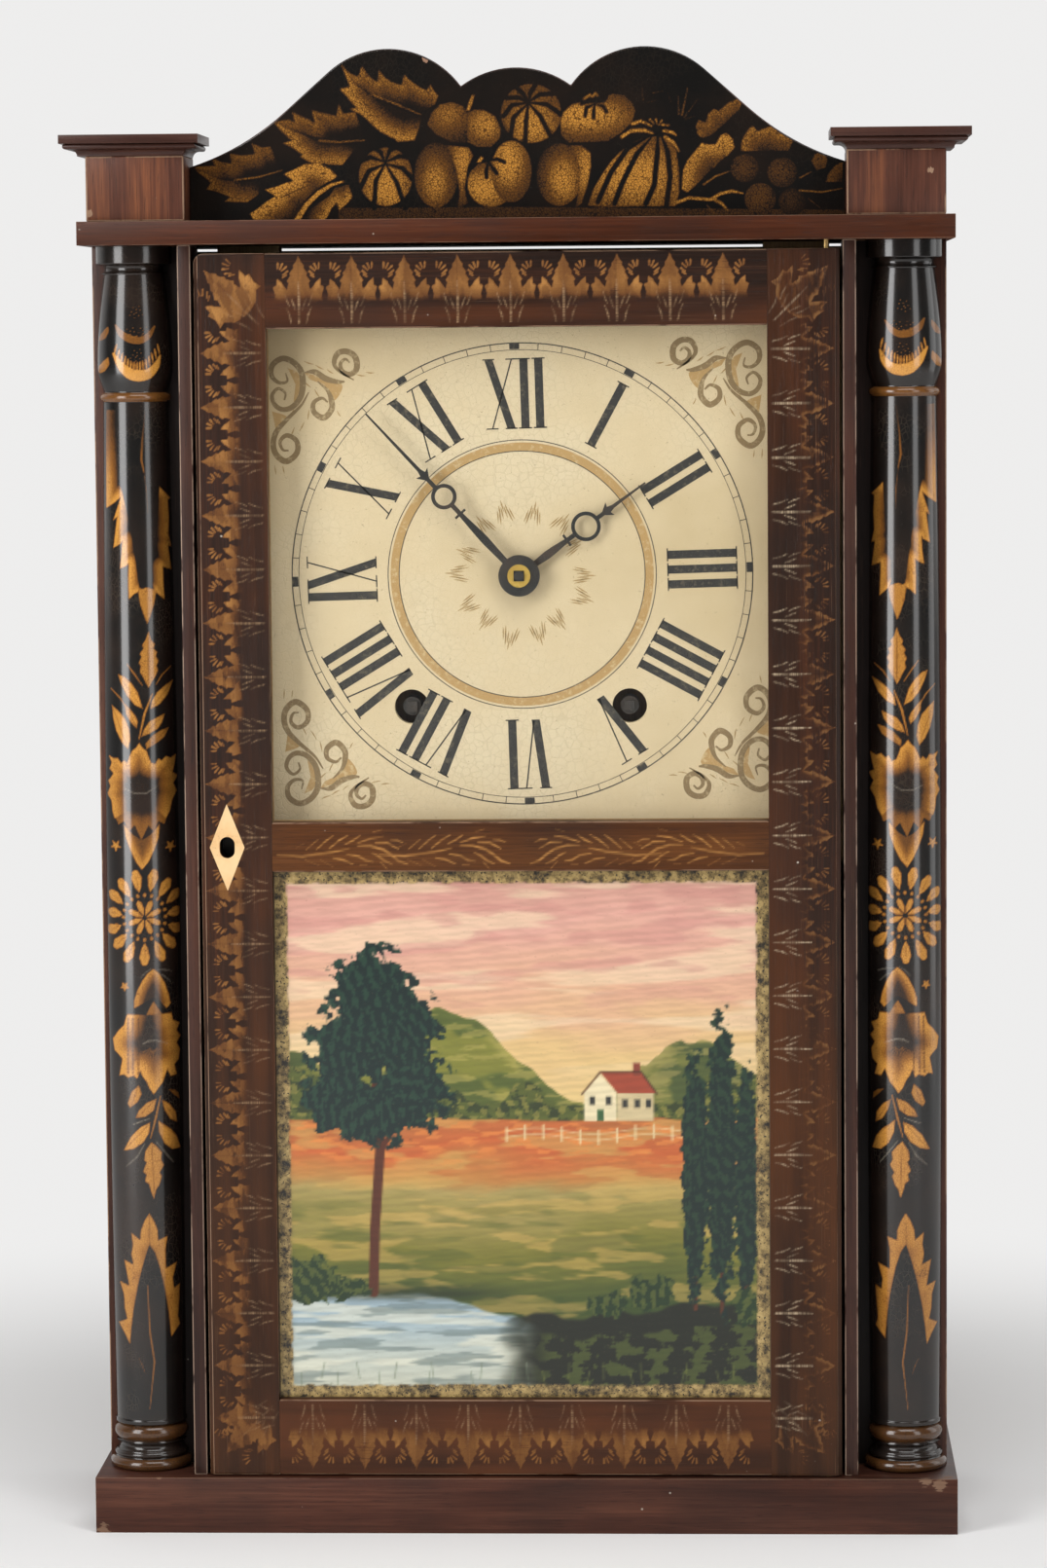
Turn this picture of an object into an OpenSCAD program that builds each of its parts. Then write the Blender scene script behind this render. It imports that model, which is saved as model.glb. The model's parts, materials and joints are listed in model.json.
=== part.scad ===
// Weight-driven shelf clock with half columns, corner blocks and a scrolled splat.
// X runs to the right, Y to the back and Z up. The origin is under the middle of the clock.

/* [Base and case] */
// Width of the base board
base_w = 423; // [418:1:440]
// Height of the base board
base_h = 27.5; // [20:0.5:40]
// Depth of the base board
base_d = 134; // [132:1:150]
// Width over the case sides
case_w = 415; // [412:1:417]
// Height of the case from the base to the top board
case_h = 602.4; // [590:0.2:640]
// Thickness of the case sides and column boards
board_t = 10; // [8:0.5:11]
// Thickness of the backboard
back_t = 8; // [5:0.5:10]
// Opening left between the backboard and the top board
back_gap = 1.3; // [0.5:0.1:6]
// How far the column boards stand behind the front of the base
frame_setback = 31; // [29:0.5:33]
// Width of the door jamb strips
jamb_w = 6.5; // [5:0.5:8]
// How far the jamb strips stand behind the front of the base
jamb_setback = 7; // [6:0.5:10]

/* [Top board, corner blocks and splat] */
// Width of the top board
top_w = 421; // [418:1:440]
// Thickness of the top board
top_t = 11.4; // [9:0.2:16]
// How far the top board stands out in front of the base
top_proud = 2; // [0:0.5:5]
// Width of a corner block
block_w = 47.5; // [40:0.5:49]
// Height of a corner block
block_h = 31.2; // [20:0.1:45]
// Depth of a corner block
block_d = 42; // [36:0.5:60]
// How far a corner block's outer side stands inside the end of the top board
block_inset = 4.25; // [1:0.25:6.5]
// Width of a corner cap
cap_w = 67; // [62:0.5:72]
// Height of a corner cap
cap_h = 10; // [9.5:0.1:14]
// How much further out a corner cap stands than its block
cap_shift = 2; // [0.5:0.5:4]
// How far the caps stand out in front of the base
cap_proud = 6; // [5:0.5:9]
// How far a cap's moulding stands out beyond its foot
cap_step = 8; // [7.4:0.1:9]
// Height of the splat above the top board at its two side lobes
splat_h = 82.2; // [74:0.2:95]
// Thickness of the splat
splat_t = 9; // [6:0.5:12]
// How far the splat stands behind the front of the corner blocks
splat_setback = 24.5; // [15:0.5:30]
// Distance of a side lobe from the middle of the splat
lobe_x = 62; // [58:0.5:66]
// Radius of a side lobe
lobe_r = 43.5; // [41:0.5:46]
// Height of the middle lobe below the side lobes
lobe_drop = 9.5; // [8:0.5:12]

/* [Half columns] */
// Distance of a column's axis from the middle of the clock
column_x = 187; // [186:0.5:187]
// Radius of the shaft at its foot
shaft_foot_r = 17.2; // [14:0.1:18]
// Radius of the shaft at its top
shaft_top_r = 16; // [13:0.1:17]
// Swelling of the shaft at half height
shaft_swell = 1.4; // [0:0.1:2]
// Radius of the foot's lower torus
torus_r = 20.3; // [18.5:0.1:20.4]
// Height of the turned foot
foot_h = 25; // [23:0.5:30]
// Height of the capital with its rings
capital_h = 75.3; // [70:0.1:90]
// Largest radius of the capital
capital_r = 18.4; // [17:0.1:19]

/* [Door] */
// Width of the door
door_w = 310.4; // [306:0.2:312]
// Thickness of the door
door_t = 18; // [17:0.5:19]
// How far the door's front stands behind the front of the base
door_setback = 4; // [3:0.5:5]
// Gap between the door and a jamb
door_side_gap = 1.6; // [1.4:0.1:2.5]
// Gap under the door
door_foot_gap = 0.8; // [0.5:0.1:2]
// Gap over the door
door_head_gap = 4.3; // [2:0.1:6]
// Width of the door stiles
stile_w = 34.6; // [30:0.2:40]
// Height of the top rail
top_rail_h = 36.4; // [30:0.2:45]
// Height of the middle rail
mid_rail_h = 24.3; // [22:0.1:35]
// Height of the bottom rail
bottom_rail_h = 37.5; // [30:0.5:50]
// Height of the opening in front of the dial
dial_open_h = 238.6; // [232:0.2:244]
// Width of the ledge that the glass lies against
glass_ledge = 6; // [5:0.5:7]
// Thickness of the glass
glass_t = 2; // [1.5:0.1:3]
// Radius of the hinge pins
pin_r = 1.5; // [1:0.1:2]
// Running clearance of the hinge pins
pin_play = 0.06; // [0.02:0.01:0.1]
// Distance of the hinge pins from the door's right edge
pin_edge = 6.2; // [6.2:0.1:6.6]
// Distance of the hinge pins from the door's front
pin_inset = 5; // [4:0.1:5]
// Radius of the door's worn upper left corner
corner_r = 5; // [1:0.5:7]
// Height of the key escutcheon
escutcheon_h = 42.4; // [30:0.2:50]
// Width of the key escutcheon
escutcheon_w = 17; // [14:0.2:20]
// Travel of the lock bolt
bolt_travel = 5; // [3:0.1:5]

/* [Dial and hands] */
// Width of the dial board
dial_w = 296; // [284:1:297]
// Height of the dial board
dial_h = 262; // [250:1:268]
// Thickness of the dial board
dial_t = 6; // [4:0.5:8]
// Gap between the door's back and the dial
dial_gap = 2.5; // [2.5:0.5:6]
// Length of the minute hand from its centre
minute_len = 108; // [80:1:112]
// Length of the hour hand from its centre
hour_len = 76; // [60:1:84]
// Radius of the hands' hubs
hub_r = 10; // [8:0.5:10.5]
// Angle of the minute hand, clockwise from twelve
minute_angle = 317; // [0:1:359]
// Angle of the hour hand, clockwise from twelve
hour_angle = 54; // [0:1:359]
// Distance of the winding arbors from the dial's middle, sideways
wind_x = 53.2; // [52.6:0.1:55]
// Distance of the winding arbors below the dial's middle
wind_drop = 63.8; // [63.6:0.1:65]
// Radius of the winding holes in the dial
wind_hole_r = 8.4; // [6:0.1:9]

/* [Movement] */
// How far the movement plates reach beyond the great wheels
plate_margin = 3.5; // [2.5:0.5:5]
// Thickness of the movement plates
plate_t = 6; // [5:0.5:7]
// Distance between the movement plates
plate_gap = 44; // [44:0.5:46]
// Space for the motion work between dial and front plate
motion_gap = 12; // [11.5:0.5:14]
// Radius of the wooden arbors
arbor_r = 2.8; // [2.4:0.1:2.8]
// Radius of the winding arbors
wind_arbor_r = 4.5; // [4:0.1:4.6]
// Radius of the steel pivots
pivot_r = 0.8; // [0.6:0.05:1]
// Running clearance of pivots and arbors
run_play = 0.06; // [0.03:0.01:0.1]
// Tooth module of the great wheels
great_mod = 1.3; // [1.29:0.01:1.3]
// Tooth module of the centre wheel
centre_mod = 1.2; // [1.19:0.01:1.2]
// Tooth module of the third wheel
third_mod = 1; // [0.98:0.01:1]
// Tooth module of the warning wheel
warning_mod = 1.1; // [1.08:0.01:1.1]
// Radius of the winding drums
drum_r = 16; // [14:0.1:16]
// Radius of the escape wheel
escape_r = 20; // [18:0.1:20]
// Radius of the bell
bell_r = 36; // [30:0.5:38]
// Length of the pendulum from its pivot to the middle of the bob
pendulum_len = 380; // [340:1:400]
// Radius of the pendulum bob
bob_r = 28; // [20:0.5:32]

/* [Weights and cords] */
// Width of a weight
weight_w = 60; // [50:1:62]
// Depth of a weight
weight_d = 44; // [36:1:46]
// Height of a weight's body
weight_h = 104; // [80:1:115]
// Height of a weight above the base board at its lowest
weight_rest = 9; // [4:0.5:15]
// Radius of the cords
cord_r = 1; // [0.8:0.1:1]
// Distance of a pulley's axis from the middle of the clock
pulley_x = 134; // [132:0.5:136]
// Distance of a pulley's axis below the top board
pulley_drop = 40; // [36:1:50]
// Radius of a pulley's groove
groove_r = 14; // [13:0.1:15]

/* [Hidden] */
$fn = 48;
cut = 1; // how far cutting solids reach past what they cut
seat = 0.3; // gap between pieces that turn or hang beside each other

// Heights
case_top = base_h + case_h;
cornice_top = case_top + top_t;
door_z0 = base_h + door_foot_gap;
door_z1 = case_top - door_head_gap;
dial_open_z1 = door_z1 - top_rail_h;
dial_open_z0 = dial_open_z1 - dial_open_h;
tablet_z1 = dial_open_z0 - mid_rail_h;
tablet_z0 = door_z0 + bottom_rail_h;
dial_z = (dial_open_z0 + dial_open_z1) / 2 - 0.9;
lock_z = (dial_open_z0 + tablet_z1) / 2;

// Depths, from the front backwards
back_y = (base_d + cap_proud) / 2;
base_front = back_y - base_d;
block_front = -back_y + cap_step + 0.5;
frame_front = base_front + frame_setback;
frame_back = frame_front + board_t;
door_front = base_front + door_setback;
door_back = door_front + door_t;
glass_y = door_front + glass_ledge;
dial_front = door_back + dial_gap;
dial_back = dial_front + dial_t;
plate_y = dial_back + motion_gap;
train_y = plate_y + plate_t;
rear_y = train_y + plate_gap;
rear_back = rear_y + plate_t;

// Widths
door_edge = door_w / 2;
jamb_x = door_edge + door_side_gap;
open_x = door_edge - stile_w;
side_x = case_w / 2 - board_t;
hinge_x = door_edge - pin_edge;
hinge_y = door_front + pin_inset;
block_x = top_w / 2 - block_w / 2 - block_inset;
cap_x = block_x + cap_shift;

// Levels of the wheels, measured back from the front plate
function level(y) = train_y + y;
great_level = [level(3), level(8)];
second_level = [level(10), level(14)];
third_level = [level(19), level(23)];
pin_level = [level(30), level(34)];
centre_level = [level(36.5), level(40.5)];
drum_level = [level(9), level(26)];
cord_y = level(20);
arbor_y = [train_y + seat, rear_y - seat];
cannon_level = [plate_y - 4.4, plate_y - 1.6];
hour_level = [plate_y - 9.2, plate_y - 6.2];
count_level = [rear_back + 1.2, rear_back + 3.8];

// Tooth counts
great_teeth = 60;
second_leaves = 30;
second_teeth = 60;
centre_leaves = 16;
centre_teeth = 72;
leaves = 8;
third_teeth = 60;
escape_teeth = 42;
pin_leaves = 10;
pin_teeth = 60;
warning_teeth = 48;
count_teeth = 78;
cannon_leaves = 12;
minute_teeth = 36;
minute_leaves = 10;
hour_teeth = 40;
count_mod = 0.9;
cannon_mod = 1;
hour_mod = cannon_mod * (cannon_leaves + minute_teeth) / (minute_leaves + hour_teeth);
shaft_r = 2.5; // shaft that carries the minute hand
pipe_r = 4.4; // pipe that carries the hour hand

// Places of the arbors in the X-Z plane
function reach(m, a, b) = m * (a + b) / 2;
function polar(p, angle, d) = [p[0] + d * cos(angle), p[1] + d * sin(angle)];
function way(a, b) = atan2(b[1] - a[1], b[0] - a[0]);
function gap(a, b) = norm([b[0] - a[0], b[1] - a[1]]);
// Point at distance ra from a and rb from b, on the right of the way from a to b
function meet(a, b, ra, rb) = let (d = gap(a, b), u = acos((ra * ra + d * d - rb * rb) / (2 * ra * d)))
    polar(a, way(a, b) - u, ra);
time_at = [wind_x, dial_z - wind_drop];
centre_at = [0, dial_z];
second_at = meet(time_at, centre_at, reach(great_mod, great_teeth, second_leaves),
    reach(great_mod, second_teeth, centre_leaves));
escape_at = [0, dial_z + 53];
third_at = meet(centre_at, escape_at, reach(centre_mod, centre_teeth, leaves),
    reach(third_mod, third_teeth, leaves));
strike_at = [-wind_x, dial_z - wind_drop];
pin_at = polar(strike_at, 80, reach(great_mod, great_teeth, pin_leaves));
warning_at = polar(pin_at, 100, reach(warning_mod, pin_teeth, leaves));
fly_at = polar(warning_at, 75, reach(warning_mod, warning_teeth, leaves));
count_at = polar(pin_at, -60, reach(count_mod, leaves, count_teeth));
minute_at = polar(centre_at, 45, reach(cannon_mod, cannon_leaves, minute_teeth));
verge_at = [0, escape_at[1] + 23.6];
plate_w = 2 * (wind_x + great_mod * (great_teeth / 2 + 1) + plate_margin);
rear_block = 12; // width of the blocks that hold the back plate
hammer_gap = 7; // from those blocks to the hammer's arbor
hammer_drop = 35; // from the strike arbor down to the hammer's arbor
bell_aside = 18; // from the hammer's arbor to the bell's middle
bell_drop = 12; // from the hammer's arbor down to the bell's rim
hammer_at = [-plate_w / 2 + rear_block + hammer_gap, strike_at[1] - hammer_drop];
bell_at = [hammer_at[0] + bell_aside, hammer_at[1] - bell_drop - bell_r];

// Angle of a wheel's first tooth that puts it in mesh with a neighbour
function mesh(phase, teeth, a, b, next) = way(a, b) + 180
    + 360 / next * (0.5 - (phase - way(a, b)) * teeth / 360);
second_turn = mesh(0, great_teeth, time_at, second_at, second_leaves);
centre_turn = mesh(second_turn, second_teeth, second_at, centre_at, centre_leaves);
third_turn = mesh(centre_turn, centre_teeth, centre_at, third_at, leaves);
escape_turn = mesh(third_turn, third_teeth, third_at, escape_at, leaves);
pin_turn = mesh(0, great_teeth, strike_at, pin_at, pin_leaves);
warning_turn = mesh(pin_turn, pin_teeth, pin_at, warning_at, leaves);
fly_turn = mesh(warning_turn, warning_teeth, warning_at, fly_at, leaves);
count_turn = mesh(pin_turn, leaves, pin_at, count_at, count_teeth);
minute_turn = mesh(0, cannon_leaves, centre_at, minute_at, minute_teeth);
hour_turn = mesh(minute_turn, minute_leaves, minute_at, centre_at, hour_teeth);

// Movement plates
plate_drop = 42; // from the winding arbors down to the plates' lower edge
plate_rise = 10; // from the verge up to the plates' upper edge
plate_z0 = time_at[1] - plate_drop;
plate_z1 = verge_at[1] + plate_rise;
pillar_low = [plate_w / 2 - 9, plate_z0 + 10];
pillar_high = [70, plate_z1 - 20];

// Cords, pulleys and weights, drawn for the right side
wrap_r = groove_r + seat + cord_r;
unwind_r = drum_r + seat + cord_r;
pulley_at = [pulley_x, case_top - pulley_drop];
leave = way(time_at, pulley_at) + 90 - asin((unwind_r - wrap_r) / gap(time_at, pulley_at));
weight_x = pulley_x + wrap_r;
weight_z0 = base_h + weight_rest;
eye_r = 5;
eye_top = weight_z0 + weight_h + 12;

// Box between two corners
module board(x0, x1, y0, y1, z0, z1) {
    translate([x0, y0, z0]) cube([x1 - x0, y1 - y0, z1 - z0]);
}

// Outline drawn in X and Z, carried from y0 back to y1
module along_y(y0, y1) {
    translate([0, y1, 0]) rotate([90, 0, 0]) linear_extrude(y1 - y0) children();
}

// Round rod along Y
module rod(p, r, y0, y1) {
    translate([p[0], y0, p[1]]) rotate([-90, 0, 0]) cylinder(r = r, h = y1 - y0);
}

// Profile of radius and depth, turned about an axis along Y that starts at y0
module turned(p, y0) {
    translate([p[0], y0, p[1]]) rotate([-90, 0, 0]) rotate_extrude() children();
}

module both_sides() {
    children();
    mirror([1, 0, 0]) children();
}

// Case

module base_board() {
    color("#43241c") difference() {
        board(-base_w / 2, base_w / 2, base_front, back_y, 0, base_h);
        hinge_hole(base_h - pin_sunk, base_h + cut);
    }
}

module case_side() {
    color("#5a2c1e") board(side_x, side_x + board_t, frame_front, back_y, base_h, case_top);
}

module case_side_right() {
    case_side();
}

module case_side_left() {
    mirror([1, 0, 0]) case_side();
}

module column_boards() {
    color("#1b1310") both_sides()
        board(jamb_x + jamb_w, side_x, frame_front, frame_back, base_h, case_top);
}

// Strips beside the door; the left one has the mortise for the lock bolt
module door_jambs() {
    color("#4a2419") difference() {
        both_sides() board(jamb_x, jamb_x + jamb_w, base_front + jamb_setback, frame_back, base_h, case_top);
        bolt_room(-jamb_x - jamb_w + 0.5, -jamb_x + cut);
    }
}

module top_board() {
    color("#5f2e1c") difference() {
        board(-top_w / 2, top_w / 2, base_front - top_proud, back_y, case_top, cornice_top);
        hinge_hole(case_top - cut, case_top + pin_sunk);
    }
}

module backboard() {
    color("#a98456") board(-side_x, side_x, back_y - back_t, back_y, base_h, case_top - back_gap);
}

// Pine glue blocks in the corners, cheeks that hang the pulleys, and blocks behind the movement
module case_blocks() {
    glue = 14;
    cheek_t = 6;
    cheek_w = 30;
    color("#b08d5e") both_sides() {
        for (y = [0, 44]) translate([0, y, 0]) {
            along_y(-15, 15) polygon([[side_x, base_h], [side_x, base_h + glue], [side_x - glue, base_h]]);
            along_y(-15, 15) polygon([[side_x, case_top], [side_x - glue, case_top],
                [side_x, case_top - glue]]);
        }
        for (y = [cord_y - 3.9 - cheek_t, cord_y + 3.9]) difference() {
            board(pulley_x - cheek_w / 2, pulley_x + cheek_w / 2, y, y + cheek_t,
                pulley_at[1] - cheek_w / 2, case_top);
            rod(pulley_at, 1.6 + run_play, y - cut, y + cheek_t + cut);
        }
        for (z = [plate_z0 + 8, plate_z1 - 18])
            board(plate_w / 2 - rear_block, plate_w / 2, rear_back, back_y - back_t, z, z + 16);
    }
}

// Ring of height h whose edge is a half round of radius h / 2
module bead(z, h, r) {
    translate([0, z]) square([r - h / 2, h]);
    translate([r - h / 2, z + h / 2]) circle(r = h / 2);
}

// Hollow of height h, cut to radius r
module cove(z, h, r) {
    difference() {
        translate([0, z]) square([r + h / 2, h]);
        translate([r + h / 2, z + h / 2]) circle(r = h / 2);
    }
}

// Shaft radius, and vase radius of the capital, at a fraction t of their heights
function shaft_at(t) = shaft_foot_r + (shaft_top_r - shaft_foot_r) * t + shaft_swell * 4 * t * (1 - t);
vase_foot_r = 15.6;
vase_neck_r = 14.8;
function vase_at(t) = t < 0.22 ? vase_foot_r + (capital_r - vase_foot_r) * sin(90 * t / 0.22)
    : vase_neck_r + (capital_r - vase_neck_r) * cos(90 * (t - 0.22) / 0.78);

module column_profile() {
    shaft_z = case_h - capital_h;
    vase_z = shaft_z + 5;
    vase_h = capital_h - 18.4;
    bead(0, 6, torus_r);
    bead(6, 3.2, 18.4);
    cove(9.2, 4.8, 16);
    bead(14, foot_h - 16, 18.4);
    translate([0, foot_h - 2]) square([17.7, 2]);
    polygon([[0, foot_h], for (i = [0 : 10]) [shaft_at(i / 10), foot_h + (shaft_z - foot_h) * i / 10],
        [0, shaft_z]]);
    bead(shaft_z, 4.4, 17.4);
    polygon([[0, shaft_z + 4.4], [vase_foot_r, shaft_z + 4.4],
        for (i = [0 : 12]) [vase_at(i / 12), vase_z + vase_h * i / 12], [0, vase_z + vase_h]]);
    cove(vase_z + vase_h, 4.6, vase_neck_r - 0.4);
    translate([0, vase_z + vase_h + 4.6]) square([18.5, capital_h - vase_h - 9.6]);
}

module half_column() {
    color("#15110f") translate([column_x, frame_front, base_h]) rotate([0, 0, 180])
        rotate_extrude(angle = 180) column_profile();
}

module half_column_right() {
    half_column();
}

module half_column_left() {
    mirror([1, 0, 0]) half_column();
}

// Corner blocks, caps and splat

module corner_block() {
    color("#6b3423") board(block_x - block_w / 2, block_x + block_w / 2, block_front,
        block_front + block_d, cornice_top, cornice_top + block_h);
}

module corner_block_right() {
    corner_block();
}

module corner_block_left() {
    mirror([1, 0, 0]) corner_block();
}

// Right half of a cap's moulding: cove below, then a bead, and a square fascia above
module cap_moulding(half) {
    cove_r = 3.2;
    bead_r = 1.3;
    bead_in = 3;
    fascia_z = cove_r + 2 * bead_r;
    foot = half - cap_step;
    difference() {
        square([foot + cove_r, cove_r]);
        translate([foot + cove_r, 0]) circle(r = cove_r);
    }
    translate([0, cove_r]) square([half - bead_in, 2 * bead_r]);
    translate([half - bead_in, cove_r + bead_r]) circle(r = bead_r);
    translate([0, fascia_z]) square([half, cap_h - fascia_z]);
}

module corner_cap() {
    depth = block_d + cap_step + 2;
    color("#5a2d22") translate([cap_x, -back_y, cornice_top + block_h]) intersection() {
        along_y(0, depth) both_sides() cap_moulding(cap_w / 2);
        rotate([90, 0, -90]) linear_extrude(cap_w, center = true) translate([-depth, 0]) cap_moulding(depth);
    }
}

module corner_cap_right() {
    corner_cap();
}

module corner_cap_left() {
    mirror([1, 0, 0]) corner_cap();
}

// Right half of the splat's outline, in X and in height above the top board
module splat_half() {
    half = block_x - block_w / 2;
    slope = 41.5;
    middle_r = 44.9;
    foot_r = 127;
    crest = [lobe_x, splat_h - lobe_r];
    shoulder = [lobe_x + lobe_r * sin(slope), crest[1] + lobe_r * cos(slope)];
    hollow = [shoulder[0] + 21.2, shoulder[1] - 21.2 * tan(slope)];
    foot = [hollow[0] + foot_r * sin(slope), hollow[1] + foot_r * cos(slope)];
    intersection() {
        translate([0, splat_h - lobe_drop - middle_r]) circle(r = middle_r);
        square([half, splat_h]);
    }
    intersection() {
        translate(crest) circle(r = lobe_r);
        square([shoulder[0], splat_h]);
    }
    difference() {
        polygon([[0, 0], [half, 0], [half, hollow[1]], hollow, shoulder, crest, [0, crest[1]]]);
        translate(foot) circle(r = foot_r);
    }
}

module splat() {
    y0 = block_front + splat_setback;
    color("#17120f") translate([0, 0, cornice_top]) difference() {
        along_y(y0, y0 + splat_t) both_sides() splat_half();
        board(-157, -147, y0 - cut, y0 + splat_t + cut, -cut, 0.9);
    }
}

// Door

module hinge_hole(z0, z1) {
    translate([hinge_x, hinge_y, z0]) cylinder(r = pin_r + pin_play, h = z1 - z0);
}

pin_reach = 12; // length of a hinge pin inside the door
pin_sunk = 8; // length of a hinge pin inside the base or the top board

module hinge_pins() {
    color("#b08a4a") translate([hinge_x, hinge_y, 0]) {
        translate([0, 0, base_h - pin_sunk]) cylinder(r = pin_r, h = pin_sunk + door_foot_gap + pin_reach);
        translate([0, 0, door_z1 - pin_reach]) cylinder(r = pin_r, h = pin_reach + door_head_gap + pin_sunk);
    }
}

// Rebate behind both openings of the door
module door_rebates() {
    for (z = [[tablet_z0, tablet_z1], [dial_open_z0, dial_open_z1]])
        board(-open_x - glass_ledge, open_x + glass_ledge, glass_y, door_back + cut,
            z[0] - glass_ledge, z[1] + glass_ledge);
}

tenon_l = 14;
tenon_y = [door_front + glass_ledge + 1, door_front + glass_ledge + 5];

// Rail between two heights, with tenons that keep clear of the rebates
module door_rail(z0, z1) {
    inset = glass_ledge + 1;
    difference() {
        union() {
            board(-open_x, open_x, door_front, door_back, z0, z1);
            board(-open_x - tenon_l, open_x + tenon_l, tenon_y[0], tenon_y[1], z0 + inset, z1 - inset);
        }
        door_rebates();
    }
}

module door_rail_top() {
    color("#3d2218") door_rail(dial_open_z1, door_z1);
}

module door_rail_middle() {
    color("#3d2218") door_rail(tablet_z1, dial_open_z0);
}

module door_rail_bottom() {
    color("#3d2218") door_rail(door_z0, tablet_z0);
}

// Stile with mortises, rebates and an eased outer edge that lets the door turn past its jamb
module door_stile() {
    ease = 2;
    difference() {
        linear_extrude(door_z1 - door_z0) polygon([[open_x, 0], [door_edge - ease, 0],
            [door_edge, ease], [door_edge, door_t], [open_x, door_t]]);
        translate([0, -door_front, -door_z0]) {
            door_rebates();
            for (z = [[door_z0, tablet_z0], [tablet_z1, dial_open_z0], [dial_open_z1, door_z1]])
                tenon_room(z[0], z[1]);
        }
    }
}

// Room for the tenons of the rail between two heights
module tenon_room(z0, z1) {
    play = 0.1;
    inset = glass_ledge + 1 - play;
    board(-open_x - tenon_l - play, open_x + tenon_l + play, tenon_y[0] - play, tenon_y[1] + play,
        z0 + inset, z1 - inset);
}

module door_stile_right() {
    color("#3d2218") difference() {
        translate([0, door_front, door_z0]) door_stile();
        hinge_hole(door_z0 - cut, door_z0 + pin_reach + seat);
        hinge_hole(door_z1 - pin_reach - seat, door_z1 + cut);
    }
}

key_x = -142.5 - (door_edge - 155.2);
key_r = 3.7;
inlay_t = 1.2;

// Keyhole outline: a slot with round ends
module keyhole(y0, y1) {
    rod([key_x, lock_z + 1.5], key_r, y0, y1);
    rod([key_x, lock_z - 1.5], key_r, y0, y1);
    board(key_x - key_r, key_x + key_r, y0, y1, lock_z - 1.5, lock_z + 1.5);
}

module diamond(h, w) {
    translate([key_x, lock_z]) polygon([[0, -h / 2], [w / 2, 0], [0, h / 2], [-w / 2, 0]]);
}

lock_x = [-door_edge, key_x + 12.5];
lock_h = 44;
lock_t = 6.5;
bolt_h = 8;
bolt_t = 2;
bolt_z = lock_z + 12;
bolt_y = door_back - lock_t / 2;

// Room for the bolt between two places along X
module bolt_room(x0, x1, play = 0.25) {
    board(x0, x1, bolt_y - bolt_t / 2 - play, bolt_y + bolt_t / 2 + play,
        bolt_z - bolt_h / 2 - play, bolt_z + bolt_h / 2 + play);
}

// What wear has taken off the corner at the origin, leaving a round of radius r
module worn_corner(r) {
    difference() {
        translate([-cut, -r]) square([r + cut, r + cut]);
        translate([r, -r]) circle(r = r);
    }
}

module door_stile_left() {
    color("#3d2218") difference() {
        translate([0, door_front, door_z0]) mirror([1, 0, 0]) door_stile();
        translate([-door_edge, 0, door_z1]) along_y(door_front - cut, door_back + cut) worn_corner(corner_r);
        along_y(door_front - cut, door_front + inlay_t - 0.2) diamond(escutcheon_h, escutcheon_w);
        keyhole(door_front - cut, door_back + cut);
        board(lock_x[0] - cut, lock_x[1], door_back - lock_t, door_back + cut,
            lock_z - lock_h / 2, lock_z + lock_h / 2);
    }
}

module escutcheon() {
    color("#e2c78f") difference() {
        along_y(door_front - 0.2, door_front + inlay_t - 0.2) diamond(escutcheon_h, escutcheon_w);
        keyhole(door_front - cut, door_front + inlay_t + cut);
    }
}

module door_lock() {
    color("#4c4a46") difference() {
        board(lock_x[0], lock_x[1], door_back - lock_t, door_back, lock_z - lock_h / 2, lock_z + lock_h / 2);
        bolt_room(lock_x[0] - cut, lock_x[1] - 3);
        keyhole(door_back - lock_t - cut, door_back - 1.5);
    }
}

module lock_bolt() {
    color("#8d8a84") board(-door_edge, lock_x[1] - 3.4, bolt_y - bolt_t / 2, bolt_y + bolt_t / 2,
        bolt_z - bolt_h / 2, bolt_z + bolt_h / 2);
}

module pane(z0, z1) {
    edge = glass_ledge - 1;
    board(-open_x - edge, open_x + edge, glass_y, glass_y + glass_t, z0 - edge, z1 + edge);
}

module dial_glass() {
    color("#cfd6d3", 0.3) pane(dial_open_z0, dial_open_z1);
}

module tablet_glass() {
    color("#8f8a55", 0.9) pane(tablet_z0, tablet_z1);
}

// Four strips behind each pane
module glazing_strips() {
    y0 = glass_y + glass_t;
    y1 = y0 + 5;
    out = glass_ledge;
    color("#8a6a42") for (z = [[tablet_z0, tablet_z1], [dial_open_z0, dial_open_z1]]) {
        both_sides() board(open_x, open_x + out, y0, y1, z[0] - out, z[1] + out);
        board(-open_x, open_x, y0, y1, z[0] - out, z[0]);
        board(-open_x, open_x, y0, y1, z[1], z[1] + out);
    }
}

// Dial and hands

module dial_board() {
    color("#d8cca8") difference() {
        board(-dial_w / 2, dial_w / 2, dial_front, dial_back, dial_z - dial_h / 2, dial_z + dial_h / 2);
        rod(centre_at, pipe_r + 1.6, dial_front - cut, dial_back + cut);
        rod(time_at, wind_hole_r, dial_front - cut, dial_back + cut);
        rod(strike_at, wind_hole_r, dial_front - cut, dial_back + cut);
    }
}

module dial_rails() {
    rail_w = jamb_x - dial_w / 2 + 8;
    color("#a98456") both_sides() board(jamb_x - rail_w, jamb_x, dial_back, frame_back,
        dial_z - dial_h / 2 - 10, dial_z + dial_h / 2 + 6);
}

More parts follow.
